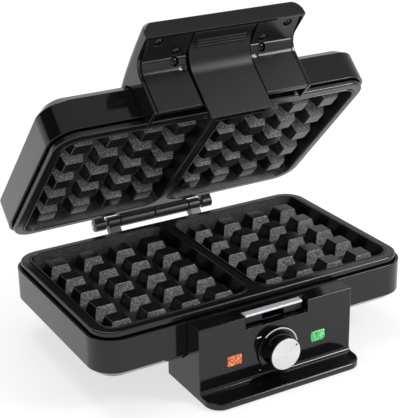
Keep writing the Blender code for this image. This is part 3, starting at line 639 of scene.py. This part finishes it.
def stud(bm, x, y, level, up):
    """One stud with a filleted foot and a rounded end; returns its foot's vertices."""
    foot, end = 0.9, 0.75
    rows = []
    for height, grow in ((0.0, foot), (0.25, foot * 0.38), (foot, 0.05), (STUD_HEIGHT - end, 0.0),
                         (STUD_HEIGHT - 0.22, -0.22), (STUD_HEIGHT, -end)):
        share = height / STUD_HEIGHT
        half_x = (STUD_BASE[0] + (STUD_TIP[0] - STUD_BASE[0]) * share) / 2 + grow
        half_y = (STUD_BASE[1] + (STUD_TIP[1] - STUD_BASE[1]) * share) / 2 + grow
        corner = 1.3 + max(grow, -0.6)
        rows.append(ring(half_x, half_y, corner, level + up * height, (x, y), 4))
    return skin(bm, rows, caps=(False, True))[0]


def cavity(bm, side, rim, up):
    """One studded cavity with its bead and groove; returns the loop where the flat rim starts."""
    half_x = (CAVITY_X - DIVIDER_HALF) / 2
    middle = (side * (DIVIDER_HALF + CAVITY_X) / 2, 0.0)
    section = [
        (2.3, RIM_FLAT), (2.05, 1.0), (1.55, 1.15), (1.25, 0.7), (1.1, 0.15), (0.7, 0.0), (0.3, 0.12),
        (0.0, 0.7), (-CAVITY_DRAFT * 0.86, CAVITY_DEPTH - 1.5), (-CAVITY_DRAFT - 0.3, CAVITY_DEPTH - 0.4),
        (-CAVITY_DRAFT - 1.3, CAVITY_DEPTH),
    ]
    rows = [ring(half_x + out, CAVITY_Y + out, CAVITY_CORNER + out, rim - up * depth, middle, 10)
            for out, depth in section]
    loops = skin(bm, rows, caps=(False, False))
    level = rim - up * CAVITY_DEPTH
    feet = []
    for column in range(STUD_COLUMNS):
        for row in range(STUD_ROWS):
            x = middle[0] + (column - (STUD_COLUMNS - 1) / 2) * STUD_PITCH[0]
            y = (row - (STUD_ROWS - 1) / 2) * STUD_PITCH[1]
            feet.append(stud(bm, x, y, level, up))
    fill_between(bm, [loops[-1], *feet])
    return loops[0]


def fill_between(bm, loops):
    """Flat face with holes, bounded by loops of vertices."""
    edges = []
    for loop in loops:
        for i in range(len(loop)):
            pair = (loop[i], loop[(i + 1) % len(loop)])
            edges.append(bm.edges.get(pair) or bm.edges.new(pair))
    bmesh.ops.triangle_fill(bm, edges=edges, use_beauty=True, use_dissolve=False)


def casting(name, node, rim, back, up):
    """A cast plate: rounded proud rim, two cavities, and a stepped flat back."""
    bm = bmesh.new()
    mouths = [cavity(bm, side, rim, up) for side in (-1, 1)]
    depth = abs(rim - back)
    section = rounded([
        (RIM_INSET + 4.0, RIM_FLAT, 0.0), (RIM_INSET, RIM_FLAT, RIM_ROUND), (RIM_INSET, RIM_UNDER, 0.5),
        (RIM_NECK, RIM_UNDER, 0.3), (RIM_NECK, depth, 2.0), (RIM_NECK + 8.0, depth, 0.0),
    ], closed=False, step=15.0)
    rows = skin(bm, [case_ring(inset, rim - up * down) for inset, down in section], caps=(False, True))
    fill_between(bm, [rows[0], *mouths])
    mesh = mesh_from(bm, name)
    finishes = [plate_finish(face, abs(rim - face.center.z)) for face in mesh.polygons]
    item = piece(name, mesh, COATING, "base" if up > 0 else "lid", [node], clean=False)
    # The darker smooth finish also paints shade on the stud flanks and ends
    item.data.materials.append(POLISHED_RIM_AND_SHADED_STUDS)
    # The lighter copy paints light on the studs' front and back faces
    item.data.materials.append(LIT_STUD_FACE_COATING)
    for face, finish in zip(item.data.polygons, finishes):
        face.material_index = finish


def plate_finish(face, down):
    """Finish of a face by its depth and facing: 0 grained cavity, 1 smooth rim, with the stud ends and flanks as
    painted shade, 2 studs' front and back, a lighter copy of the coating as painted light.
    """
    x, y = abs(face.center.x), abs(face.center.y)
    on_rim = down < 0.9 or x > CAVITY_X + 0.2 or y > CAVITY_Y + 0.2
    # Stud flanks turned sideways get the darker smooth finish: painted shade
    if on_rim or abs(face.normal.x) > 0.7:
        return 1
    from_middle = abs(x - (DIVIDER_HALF + CAVITY_X) / 2)
    on_stud = from_middle < CAVITY_X / 2 - DIVIDER_HALF and y < CAVITY_Y - 4.0 and down < CAVITY_DEPTH - 0.6
    # Stud faces turned to the front or back get the lighter copy: painted light
    if on_stud and abs(face.normal.y) > 0.7:
        return 2
    return 1 if on_stud and down < CAVITY_DEPTH - STUD_HEIGHT + 1.0 else 0


# --- Pedestal and controls ---

def lens_outline(x, grow):
    """Rounded lamp window in the panel's plane."""
    half_x = (lens_high.x - lens_low.x) / 2 + grow
    half_z = (lens_high.z - lens_low.z) / 2 + grow
    return [(px, pz) for px, pz, _ in ring(half_x, half_z, 1.0 + grow, 0.0, (x, CONTROL_Z), 4)]


def pedestal_body():
    """Control panel, toe with round corners, latch slot and lamp windows."""
    bottom = foot_low.z
    rear = -HALF_DEPTH - GAP
    under = BASE_BOTTOM - 2 * GAP
    outline = rounded([
        (PANEL_FRONT, PANEL_TOP, 0.9), (PANEL_FRONT, TOE_TOP + 0.6, TOE_FILLET), (FOOT_FRONT, TOE_TOP, 1.5),
        (FOOT_FRONT, bottom, 0.8), (FOOT_BACK, bottom, 0.4), (FOOT_BACK, under, 0.6),
        (-HALF_DEPTH + CHAMFER, under, 0.4), (rear, BASE_CHAMFER - 0.4, 0.4), (rear, PANEL_TOP, 0.6),
    ], step=15.0)
    mesh = prism("pedestal_body", outline, -PANEL_HALF, PANEL_HALF)
    plan = rounded([(-PANEL_HALF, FOOT_FRONT, FOOT_CORNER), (PANEL_HALF, FOOT_FRONT, FOOT_CORNER),
                    (PANEL_HALF, FOOT_BACK, 0.0), (-PANEL_HALF, FOOT_BACK, 0.0)], step=9.0)
    mesh = carve(mesh, prism("plan", plan, -5.0, 80.0, "z"), operation="INTERSECT")
    wall = PANEL_WALL
    inner = PANEL_HALF - wall
    front = PANEL_FRONT + wall
    back = -HALF_DEPTH - wall
    # Hollow of the foot, of the panel's lower half and of both sides of the slot; then the slot's mouth and depth
    hollows = [
        ((-inner, front, -5.0), (inner, FOOT_BACK - wall, 21.2)),
        ((-inner + 0.1, front + 0.1, 20.0), (inner - 0.1, back, 42.0)),
        ((-inner + 0.2, front + 0.2, 41.0), (-SLOT_HALF - wall, back - 0.1, PANEL_TOP - wall)),
        ((SLOT_HALF + wall, front + 0.2, 41.0), (inner - 0.2, back - 0.1, PANEL_TOP - wall)),
        ((-SLOT_HALF, PANEL_FRONT - 5.0, SLOT_BOTTOM), (SLOT_HALF, -88.2, PANEL_TOP + 5.0)),
        ((-SLOT_HALF + 0.1, -90.0, SLOT_BOTTOM + 0.1), (SLOT_HALF - 0.1, SLOT_BACK, PANEL_TOP - wall)),
    ]
    mesh = carve(mesh, *[box("hollow", low, high) for low, high in hollows])
    through = (PANEL_FRONT - 5.0, front + 5.0)
    windows = [prism("window", lens_outline(x, GAP), *through, "y") for x in (-LAMP_X, LAMP_X)]
    bore = turned("bore", [(SPINDLE_BORE, y) for y in through], (0.0, CONTROL_Z), "y", 40)
    mesh = carve(mesh, bore, *windows)
    piece("pedestal_body", mesh, GLOSS, "base", ["pedestal"], edge=0.45)


def lens(name, x, finish, node):
    """Lamp lens with a pressed prism pattern on its face."""
    bm = bmesh.new()
    face = PANEL_FRONT - 0.1
    outline = lens_outline(x, 0.0)
    rows = [[(px, y, pz) for px, pz in outline] for y in (PANEL_FRONT + 3.0, face)]
    rows.append([(px, face - 0.25, pz) for px, pz in lens_outline(x, -0.3)])
    skin(bm, rows)
    width = (lens_high.x - lens_low.x - 1.2) / LENS_COLUMNS
    height = (lens_high.z - lens_low.z - 1.2) / LENS_ROWS
    for i in range(LENS_COLUMNS):
        for j in range(LENS_ROWS):
            middle = (x + (i - (LENS_COLUMNS - 1) / 2) * width, CONTROL_Z + (j - (LENS_ROWS - 1) / 2) * height)
            base = ring(width * 0.47, height * 0.47, 0.1, 0.0, middle, 1)
            tip = ring(width * 0.14, height * 0.14, 0.05, 0.0, middle, 1)
            skin(bm, [[(px, face - 0.2, pz) for px, pz, _ in base], [(px, face - 0.42, pz) for px, pz, _ in tip]])
    piece(name, mesh_from(bm, name), finish, "base", [node], clean=False)


def catch():
    """Bright strip over the slot with two tabs behind it."""
    top = bar_high.z
    under = top - STRIP_THICK
    strip = rounded([(bar_low.y, top, 0.4), (bar_low.y, under, 0.3), (bar_high.y, under, 0.3), (bar_high.y, top, 0.4)])
    mesh = prism("catch", strip, bar_low.x, bar_high.x - STRIP_SHORT)
    piece("catch_strip", mesh, BAR_STEEL, "base", ["catch_bar"], edge=0.25)
    foot = bar_low.z - TAB_DROP
    for side, (low, high) in TAB_SPANS.items():
        tab = rounded([(low, foot, 0.8), (high, foot, 0.8), (high, top - 1.0, 0.0), (low, top - 1.0, 0.0)])
        piece(f"catch_tab_{side}", prism("tab", tab, TAB_FRONT, TAB_BACK, "y"), TAB_STEEL, "base", edge=0.25)


def dial():
    """Disc with a printed scale, a plain knob with a spun face."""
    centre = (0.0, CONTROL_Z)
    disc_radius = disc_high.x
    face = disc_low.y
    section = rounded([
        (SPINDLE_BORE, disc_high.y, 0.0), (disc_radius - 0.7, disc_high.y, 0.2),
        (disc_radius, disc_high.y - 0.5, 0.2), (disc_radius, face, 0.35), (SPINDLE_BORE, face, 0.2),
    ], step=20.0)
    mesh = turned("dial_disc", section, centre, "y", 96, closed=True)
    piece("dial_disc", mesh, GLOSS, "base", ["dial_plate"], clean=False)

    radius = disc_radius - 0.85
    film = [(radius - SCALE_HALF, face + 0.05), (radius - SCALE_HALF, face - 0.08),
            (radius + SCALE_HALF, face - 0.08), (radius + SCALE_HALF, face + 0.05)]
    rows = []
    for step in range(SCALE_STEPS + 1):
        angle = math.radians(SCALE_START + (SCALE_END - SCALE_START) * step / SCALE_STEPS)
        rows.append([(reach * math.cos(angle), y, CONTROL_Z + reach * math.sin(angle)) for reach, y in film])
    piece("dial_scale", loft("dial_scale", rows), INK, "base", clean=False)
    for name, reach, angle, half in PANEL_MARKS:
        x = reach * math.cos(math.radians(angle))
        z = CONTROL_Z + reach * math.sin(math.radians(angle))
        outline = [(px, pz) for px, pz, _ in ring(half[0], half[1], half[1] * 0.98, 0.0, (x, z), 5)]
        mesh = prism(name, outline, PANEL_FRONT - 0.08, PANEL_FRONT + 0.1, "y")
        piece(name, mesh, INK, "base", clean=False)

    front = knob_low.y
    wide = knob_high.x
    section = rounded([
        (3.2, disc_low.y - GAP, 0.0), (wide, disc_low.y - GAP, 0.3), (wide - 0.1, disc_low.y - 2.4, 0.4),
        (wide - 0.4, front, 0.3), (wide - 0.8, front, 0.1), (wide - 0.8, front + 1.0, 0.1), (3.2, front + 1.0, 0.0),
    ], step=20.0)
    mesh = turned("knob_body", section, centre, "y", 96, closed=True)
    piece("knob_body", mesh, GLOSS, "dial", ["knob"], clean=False)

    radius = cap_high.x
    section = [(0.02, cap_high.y)] + rounded([
        (0.02, cap_high.y, 0.0), (radius - 0.2, cap_high.y, 0.0), (radius, cap_high.y - 0.3, 0.1),
        (radius, cap_low.y + 0.1, 0.35), (radius - 1.0, cap_low.y + 0.02, 0.3), (0.02, cap_low.y + 0.02, 0.0),
    ], closed=False, step=20.0)[1:]
    mesh = turned("knob_face", section, centre, "y", 96)
    piece("knob_face", mesh, ALUMINIUM, "dial", ["knob_cap"], clean=False)
    angle = math.radians(POINTER_ANGLE)
    spot = (POINTER_REACH * math.cos(angle), CONTROL_Z + POINTER_REACH * math.sin(angle))
    mesh = turned("knob_pointer", [(0.8, cap_low.y + 0.2), (0.8, cap_low.y + 0.01), (0.6, cap_low.y)], spot, "y", 24)
    piece("knob_pointer", mesh, POINTER, "dial", clean=False)


# --- Hinge ---

def knuckle(name, start, end):
    """One barrel segment about the hinge's axis."""
    profile = rounded([(0.5, start, 0.0), (BARREL, start, 0.5), (BARREL, end, 0.5), (0.5, end, 0.0)], closed=False)
    return turned(name, profile, (HINGE_Y, HINGE_Z), "x", 48)


def leaf(name, node, low, high, spans, body):
    """Hinge leaf: plate on the casing's back wall from low to high, with webs and knuckles."""
    wall = HALF_DEPTH + GAP
    half = spans[-1][1]
    plate = rounded([(-half, low, 1.5), (half, low, 1.5), (half, high, 1.5), (-half, high, 1.5)])
    mesh = prism(name, plate, wall, wall + 2.2, "y")
    way = -1 if low < HINGE_Z else 1
    tangent = [(HINGE_Y - 1.5, HINGE_Z + way * 4.6), (HINGE_Y - 3.0, HINGE_Z),
               (HINGE_Y + 3.0, HINGE_Z), (HINGE_Y + 4.4, HINGE_Z + way * 1.8)]
    foot = [(wall + 0.3, low + 0.4), (wall + 0.3, high - 0.4)]
    web = hull([*tangent, *foot])
    for start, end in spans:
        mesh = join(mesh, prism("web", web, start + 0.3, end - 0.3), knuckle("knuckle", start, end))
    bore = turned("bore", [(PIN_BORE, -60.0), (PIN_BORE, 60.0)], (HINGE_Y, HINGE_Z), "x", 40)
    piece(name, carve(mesh, bore), HINGE_METAL, body, [node], edge=0.3)


def hull(points):
    """Convex outline of a set of points, counter-clockwise."""
    ordered = sorted(set(points))
    chains = []
    for sequence in (ordered, ordered[::-1]):
        chain = []
        for p in sequence:
            while len(chain) > 1:
                a, b = chain[-2], chain[-1]
                if (b[0] - a[0]) * (p[1] - a[1]) - (b[1] - a[1]) * (p[0] - a[0]) > 0:
                    break
                chain.pop()
            chain.append(p)
        chains.append(chain[:-1])
    return chains[0] + chains[1]


def hinge():
    """Both leaves and the pin through their knuckles."""
    leaf("base_leaf", "base_hinge_leaf", 43.0, 53.0, BASE_KNUCKLES, "base")
    leaf("lid_leaf", "lid_hinge_leaf", 70.0, 79.0, LID_KNUCKLES, "lid")
    section = rounded([(0.02, -PIN_HALF, 0.0), (PIN_RADIUS, -PIN_HALF, 0.7), (PIN_RADIUS, PIN_HALF, 0.7),
                       (0.02, PIN_HALF, 0.0)], closed=False)
    mesh = turned("pin", section, (HINGE_Y, HINGE_Z), "x", 32)
    piece("hinge_rod", mesh, SCREW_STEEL, "base", ["hinge_pin"], clean=False)


# --- Handle ---

def handle_section():
    """Side view of the handle as (y, z): top line, lip, underside, skirt and the lid's wall."""
    seat = LID_TOP + GAP
    top = [(-38.0, seat), (-44.0, 98.4), *HANDLE_ARCH,
           (HANDLE_FRONT + 2.8, HANDLE_TOP - 0.1), (HANDLE_FRONT, HANDLE_TOP - 1.7)]
    radius = 11.5
    corner = arc((PANEL_FRONT - radius, 98.2 - radius), radius, 90, 0, 10)
    wall = -HALF_DEPTH - GAP
    under = [(HANDLE_FRONT, LIP_BOTTOM), (HANDLE_FRONT + 2.8, 99.4), *corner, (PANEL_FRONT, SKIRT_BOTTOM)]
    return top + under + [(wall, SKIRT_BOTTOM), (wall, LID_CHAMFER + 0.2), (-HALF_DEPTH + CHAMFER - 1.2, seat)]


def handle_body():
    """Outer moulding of the handle with round upper corners, open underneath."""
    bm = bmesh.new()
    bm.from_mesh(prism("handle_body", handle_section(), -PANEL_HALF, PANEL_HALF))
    upper = []
    for edge in bm.edges:
        a, b = (vert.co for vert in edge.verts)
        along_side = abs(a.x - b.x) < 0.01 and abs(a.y - b.y) > 2.0
        if along_side and min(a.z, b.z) > max(LID_TOP + GAP + 0.1, LIP_BOTTOM + 1.0):
            upper.append(edge)
    bmesh.ops.bevel(bm, geom=upper, offset=HANDLE_ROUND, segments=7, profile=0.5, affect="EDGES")
    mesh = mesh_from(bm, "handle_body")
    wall = HANDLE_WALL
    roof = [(y + wall, z - wall) for y, z in HANDLE_ARCH]
    hollow = roof + [(HANDLE_FRONT + wall, 108.8), (HANDLE_FRONT + wall, 90.0), (-100.0, 90.0), (-100.0, 50.0),
                     (-HALF_DEPTH + 1.0, 50.0), (-HALF_DEPTH + 1.0, LID_TOP - 5.0), (-50.0, LID_TOP - 5.0)]
    inner = PANEL_HALF - wall
    cut = prism("hollow", hollow, -inner, inner)
    piece("handle_body", carve(mesh, cut), GLOSS, "lid", ["handle_shell"], edge=0.5)


def screw_frame(side, spec):
    """Centre of a cover screw's head and the direction that its shank points."""
    x, y, z, tilt = spec
    angle = math.radians(tilt)
    return Vector((side * x, y, z)), Vector((0.0, math.sin(angle), math.cos(angle)))


def cross_axes(direction):
    """Two directions across a screw's axis: the machine's own X and the one square to both."""
    across = Vector((1.0, 0.0, 0.0))
    return across, direction.cross(across)


def about(centre, direction, profile, sides, name="turned"):
    """Turn (radius, depth along direction) points about a tilted axis."""
    across, third = cross_axes(direction)
    rings = []
    for radius, along in profile:
        middle = centre + direction * along
        angles = [2 * math.pi * i / sides for i in range(sides)]
        rings.append([middle + radius * (across * math.cos(a) + third * math.sin(a)) for a in angles])
    return loft(name, rings)


def cover_section():
    """Cross-section of a handle cover: leaning roof, ledge, hollow band and skirt."""
    face = PANEL_FRONT - 0.2
    roof = HANDLE_FRONT + 3.1
    outer = rounded([(roof, 100.4, 0.0), (-101.5, 96.1, 0.3), (-101.2, 95.1, 0.25), (-100.1, 94.6, 0.5),
                     (face, 90.0, 6.0), (face, SKIRT_BOTTOM, 0.7), (face + 1.6, SKIRT_BOTTOM, 0.0)],
                    closed=False, step=9.0)
    inner = [(-92.2, SKIRT_BOTTOM), (-93.0, 62.0), (-93.0, 88.0), (-95.0, 95.8), (-102.8, 101.6), (-108.6, 102.6),
             (roof, 103.4)]
    return outer + inner


def handle_covers():
    """Left and right cover, each with a lug for the latch's pin, a pocket and three screw wells."""
    for side, label in ((-1, "left"), (1, "right")):
        low, high = sorted((side * cover_low.x, side * cover_high.x))
        mesh = prism("cover", cover_section(), low, high)
        near, far = sorted((side * (cover_low.x + 0.3), side * 31.0))
        lug = [(LATCH_PIVOT[0] - 3.4, 101.0), (LATCH_PIVOT[0] + 3.4, 99.6), *arc(LATCH_PIVOT, 3.4, 0, 180, 12)]
        mesh = join(mesh, prism("lug", lug, near, far))
        tools = [turned("bore", [(LATCH_BORE, -70.0), (LATCH_BORE, 70.0)], LATCH_PIVOT, "x", 24)]
        pocket_x = side * (cover_low.x + 4.0)
        tools.append(about(Vector((pocket_x, -99.6, 91.4)), Vector((0.0, 0.72, 0.69)),
                           [(6.5, -6.0), (5.4, 0.2), (3.4, 1.5), (0.6, 1.9)], 32))
        for spec in COVER_SCREWS:
            centre, direction = screw_frame(side, spec)
            well = rounded([(0.05, -6.0, 0.0), (3.3, -6.0, 0.0), (3.3, 1.2, 0.3), (1.7, 1.2, 0.0), (1.7, 5.0, 0.0),
                            (0.05, 5.0, 0.0)], closed=False)
            tools.append(about(centre, direction, well, 32))
        name = f"handle_lining_{label}"
        piece(name, carve(mesh, *tools), SATIN, "lid", [f"handle_cover_{label}"], edge=0.3)


def screw(name, centre, direction, head, shank, finish, body, node):
    """Domed head with a cross recess on a plain shank."""
    profile = [(0.05, -head * 0.16), (head * 0.5, -head * 0.13), (head * 0.84, 0.05), (head, 0.45), (head, 0.85),
               (shank[0], 0.9), (shank[0], shank[1]), (0.05, shank[1])]
    mesh = about(centre, direction, profile, 32, name)
    across, third = cross_axes(direction)
    corners = ((-1, -1), (1, -1), (1, 1), (-1, 1))
    for first, second in ((across, third), (third, across)):
        slot = []
        for depth, reach, half in ((-head, head * 0.66, head * 0.15), (head * 0.34, head * 0.40, head * 0.10)):
            middle = centre + direction * depth
            slot.append([middle + first * reach * a + second * half * b for a, b in corners])
        mesh = carve(mesh, loft("slot", slot))
    piece(name, mesh, finish, body, [node], edge=0.08)


def handle_screws():
    """Three dark screws in each handle cover."""
    for side, label in ((-1, "left"), (1, "right")):
        for number, spec in enumerate(COVER_SCREWS, start=1):
            centre, direction = screw_frame(side, spec)
            node = f"handle_screw_{label}_{number}"
            screw(f"cover_screw_{label}_{number}", centre, direction, 2.85, (1.35, 6.4), BLACK_SCREW, "lid", node)


def bottom_screws():
    """Four screws that hold the bottom cover."""
    for number in range(1, 5):
        node = f"bottom_screw_{number}"
        low, high = closed_box(node)
        centre = Vector(((low.x + high.x) / 2, (low.y + high.y) / 2, low.z + 0.3))
        screw(f"under_screw_{number}", centre, Vector((0, 0, 1)), high.x - centre.x, (1.5, high.z - centre.z),
              SCREW_STEEL, "base", node)


# --- Latch ---

def latch_section():
    """Cross-section of the latch: grip, swept neck, flat tongue and hook."""
    face = PANEL_FRONT - 1.2
    back = face + LATCH_THICK
    centre = (face - LATCH_BEND, GRIP_Z - LATCH_BEND)
    front = latch_low.y
    outer = [(front, GRIP_Z + 1.2), (front + 0.3, GRIP_Z + 0.4), (front + 1.0, GRIP_Z)]
    outer += arc(centre, LATCH_BEND, 90, 0, 14)
    outer += [(face, LATCH_FOOT + 0.8), (face + 0.25, LATCH_FOOT + 0.2), (face + 0.8, LATCH_FOOT)]
    hook = [(-91.4, LATCH_FOOT), (-91.0, LATCH_FOOT + 0.6), (-91.0, 50.4), (-93.6, 52.6), (back, 52.6)]
    inner = [(back, GRIP_Z - LATCH_BEND), *arc(centre, LATCH_BEND + LATCH_THICK, 0, 90, 14)[1:]]
    return outer + hook + inner + [(front, GRIP_Z + LATCH_THICK)]


def latch_lever():
    """Grip, neck, tongue and hook in one piece, with two ears on the pin and ribs under the grip."""
    mesh = prism("latch", latch_section(), -LATCH_HALF, LATCH_HALF)
    for low, high in EAR_SPANS:
        ear = [(LATCH_PIVOT[0] - 3.2, 101.0), (LATCH_PIVOT[0] + 3.2, 97.6), *arc(LATCH_PIVOT, 3.2, 0, 180, 12)]
        mesh = join(mesh, prism("ear", ear, low, high))
    for y, drop in GRIP_RIBS:
        level = GRIP_Z - drop
        rib = rounded([(y - 0.75, level + 0.8, 0.0), (y - 0.75, level - 0.8, 0.5), (y + 0.75, level - 0.8, 0.5),
                       (y + 0.75, level + 0.8, 0.0)], step=22.0)
        mesh = join(mesh, prism("rib", rib, -19.6, 19.6))
    pockets = [box("pocket", (low, -95.9, 46.0), (high, -92.3, 51.2)) for low, high in HOOK_POCKETS]
    bore = turned("bore", [(LATCH_BORE, -60.0), (LATCH_BORE, 60.0)], LATCH_PIVOT, "x", 24)
    mesh = carve(mesh, bore, *pockets)
    piece("latch_lever", mesh, FROSTED, "latch", ["latch"], edge=0.3)


# --- What keeps its CAD shape ---

def kept_nodes():
    """Finishes for the parts inside, underneath and at the back."""
    finishes = {
        INNER: ("bottom_cover", "pedestal_cover"),
        RUBBER: ("cord_inlet",),
        ELEMENT: ("lower_element", "upper_element"),
        PAN_STEEL: ("lower_reflector", "upper_reflector"),
        CERAMIC: ("thermal_fuse", "thermostat", "terminal_block"),
        GLASS: ("orange_lamp", "green_lamp"),
        SCREW_STEEL: ("dial_spindle", "latch_pin", "latch_spring"),
    }
    for finish, nodes in finishes.items():
        for node in nodes:
            refinish(node, finish, 0.0 if "element" in node or "spring" in node else 0.2)
    for side in ("left", "right"):
        refinish(f"front_pad_{side}", RUBBER, 0.2)
        refinish(f"rear_pad_{side}", RUBBER, 0.2)
        refinish(f"rear_foot_{side}", GLOSS, 0.5)


# --- Studio ---

FLAG = Vector((-0.9385, 0.1285, 0.3203))     # where the dark flag stands


def camera():
    """Looks down on the front left corner of the machine."""
    turn, rise, roll = (math.radians(value) for value in (-29.376, 22.366, -1.025))
    distance = 0.88773
    target = Vector((-0.006504, 0.0, 0.098749)) + Vector((0.0, CENTRE_Y, 0.0))
    back = Vector((math.sin(turn) * math.cos(rise), -math.cos(turn) * math.cos(rise), math.sin(rise)))
    data = bpy.data.cameras.new("camera")
    data.sensor_width = 36.0
    data.sensor_fit = "HORIZONTAL"
    data.lens = 107.2
    data.clip_start, data.clip_end = 0.02, 20.0
    item = bpy.data.objects.new("camera", data)
    bpy.context.scene.collection.objects.link(item)
    item.rotation_mode = "QUATERNION"
    aim = (-back).to_track_quat("-Z", "Y")
    item.rotation_quaternion = aim @ Matrix.Rotation(roll, 3, "Z").to_quaternion()
    item.location = target + back * distance
    bpy.context.scene.camera = item


def softbox(name, toward, distance, size, radiance):
    """Rectangular area light that faces the machine from a direction."""
    data = bpy.data.lights.new(name, "AREA")
    data.shape = "RECTANGLE"
    data.size, data.size_y = size
    data.energy = radiance * math.pi * size[0] * size[1]
    item = bpy.data.objects.new(name, data)
    bpy.context.scene.collection.objects.link(item)
    way = Vector(toward).normalized()
    item.location = Vector((0.0, 0.0, 0.1)) + way * distance
    item.rotation_mode = "QUATERNION"
    item.rotation_quaternion = (-way).to_track_quat("-Z", "Y")


def studio():
    """Glowing white floor, bright surroundings with one dark flag low on the left, and two softboxes."""
    half = 6.0
    bm = bmesh.new()
    bm.faces.new([bm.verts.new((x, y, 0.0)) for x, y in ((-half, -half), (half, -half), (half, half), (-half, half))])
    mesh = bpy.data.meshes.new("floor")
    bm.to_mesh(mesh)
    bm.free()
    made, tree, shader, point = blank("pale_floor", (0.3, 0.3, 0.3), 0.8, Specular_IOR_Level=0.0,
                                      Emission_Color=(1.0, 1.0, 1.0, 1.0), Emission_Strength=0.695)
    feed(tree, shader.inputs["Roughness"], spread(tree, noise(tree, point, 60.0), 0.75, 0.85))
    mesh.materials.append(made)
    floor = bpy.data.objects.new("floor", mesh)
    bpy.context.scene.collection.objects.link(floor)

    world = bpy.data.worlds.new("studio")
    bpy.context.scene.world = world
    world.use_nodes = True
    tree = world.node_tree
    way = add(tree, "TexCoord").outputs["Generated"]
    toward = add(tree, "VectorMath", {"operation": "DOT_PRODUCT"})
    tree.links.new(way, toward.inputs[0])
    toward.inputs[1].default_value = FLAG.normalized()
    flag = spread(tree, toward.outputs["Value"], 1.0, 0.08, 0.86, 0.90)
    height = add(tree, "SeparateXYZ", Vector=way).outputs["Z"]
    sky = add(tree, "Math", {"operation": "MULTIPLY"})
    tree.links.new(flag, sky.inputs[0])
    tree.links.new(spread(tree, height, 0.70, 0.52, 0.10, 0.60), sky.inputs[1])
    ground = tree.nodes["Background"]
    ground.inputs["Color"].default_value = (1.0, 1.0, 1.0, 1.0)
    feed(tree, ground.inputs["Strength"], sky.outputs[0])
    softbox("front_softbox", (0.80, -0.66, 0.72), 1.8, (0.6, 0.8), 15.0)
    softbox("top_softbox", (-0.06, 0.42, 1.0), 2.0, (1.1, 1.2), 6.0)
    bpy.context.scene.view_settings.view_transform = "Standard"


def main():
    camera()
    base_shell()
    lid_shell()
    casting("lower_casting", "lower_plate", LOWER_RIM, lower_low.z, 1)
    casting("upper_casting", "upper_plate", UPPER_RIM, upper_high.z, -1)
    pedestal_body()
    lens("orange_lens_face", -LAMP_X, ORANGE, "orange_lens")
    lens("green_lens_face", LAMP_X, GREEN, "green_lens")
    catch()
    dial()
    hinge()
    handle_body()
    handle_covers()
    handle_screws()
    bottom_screws()
    latch_lever()
    kept_nodes()
    studio()


main()
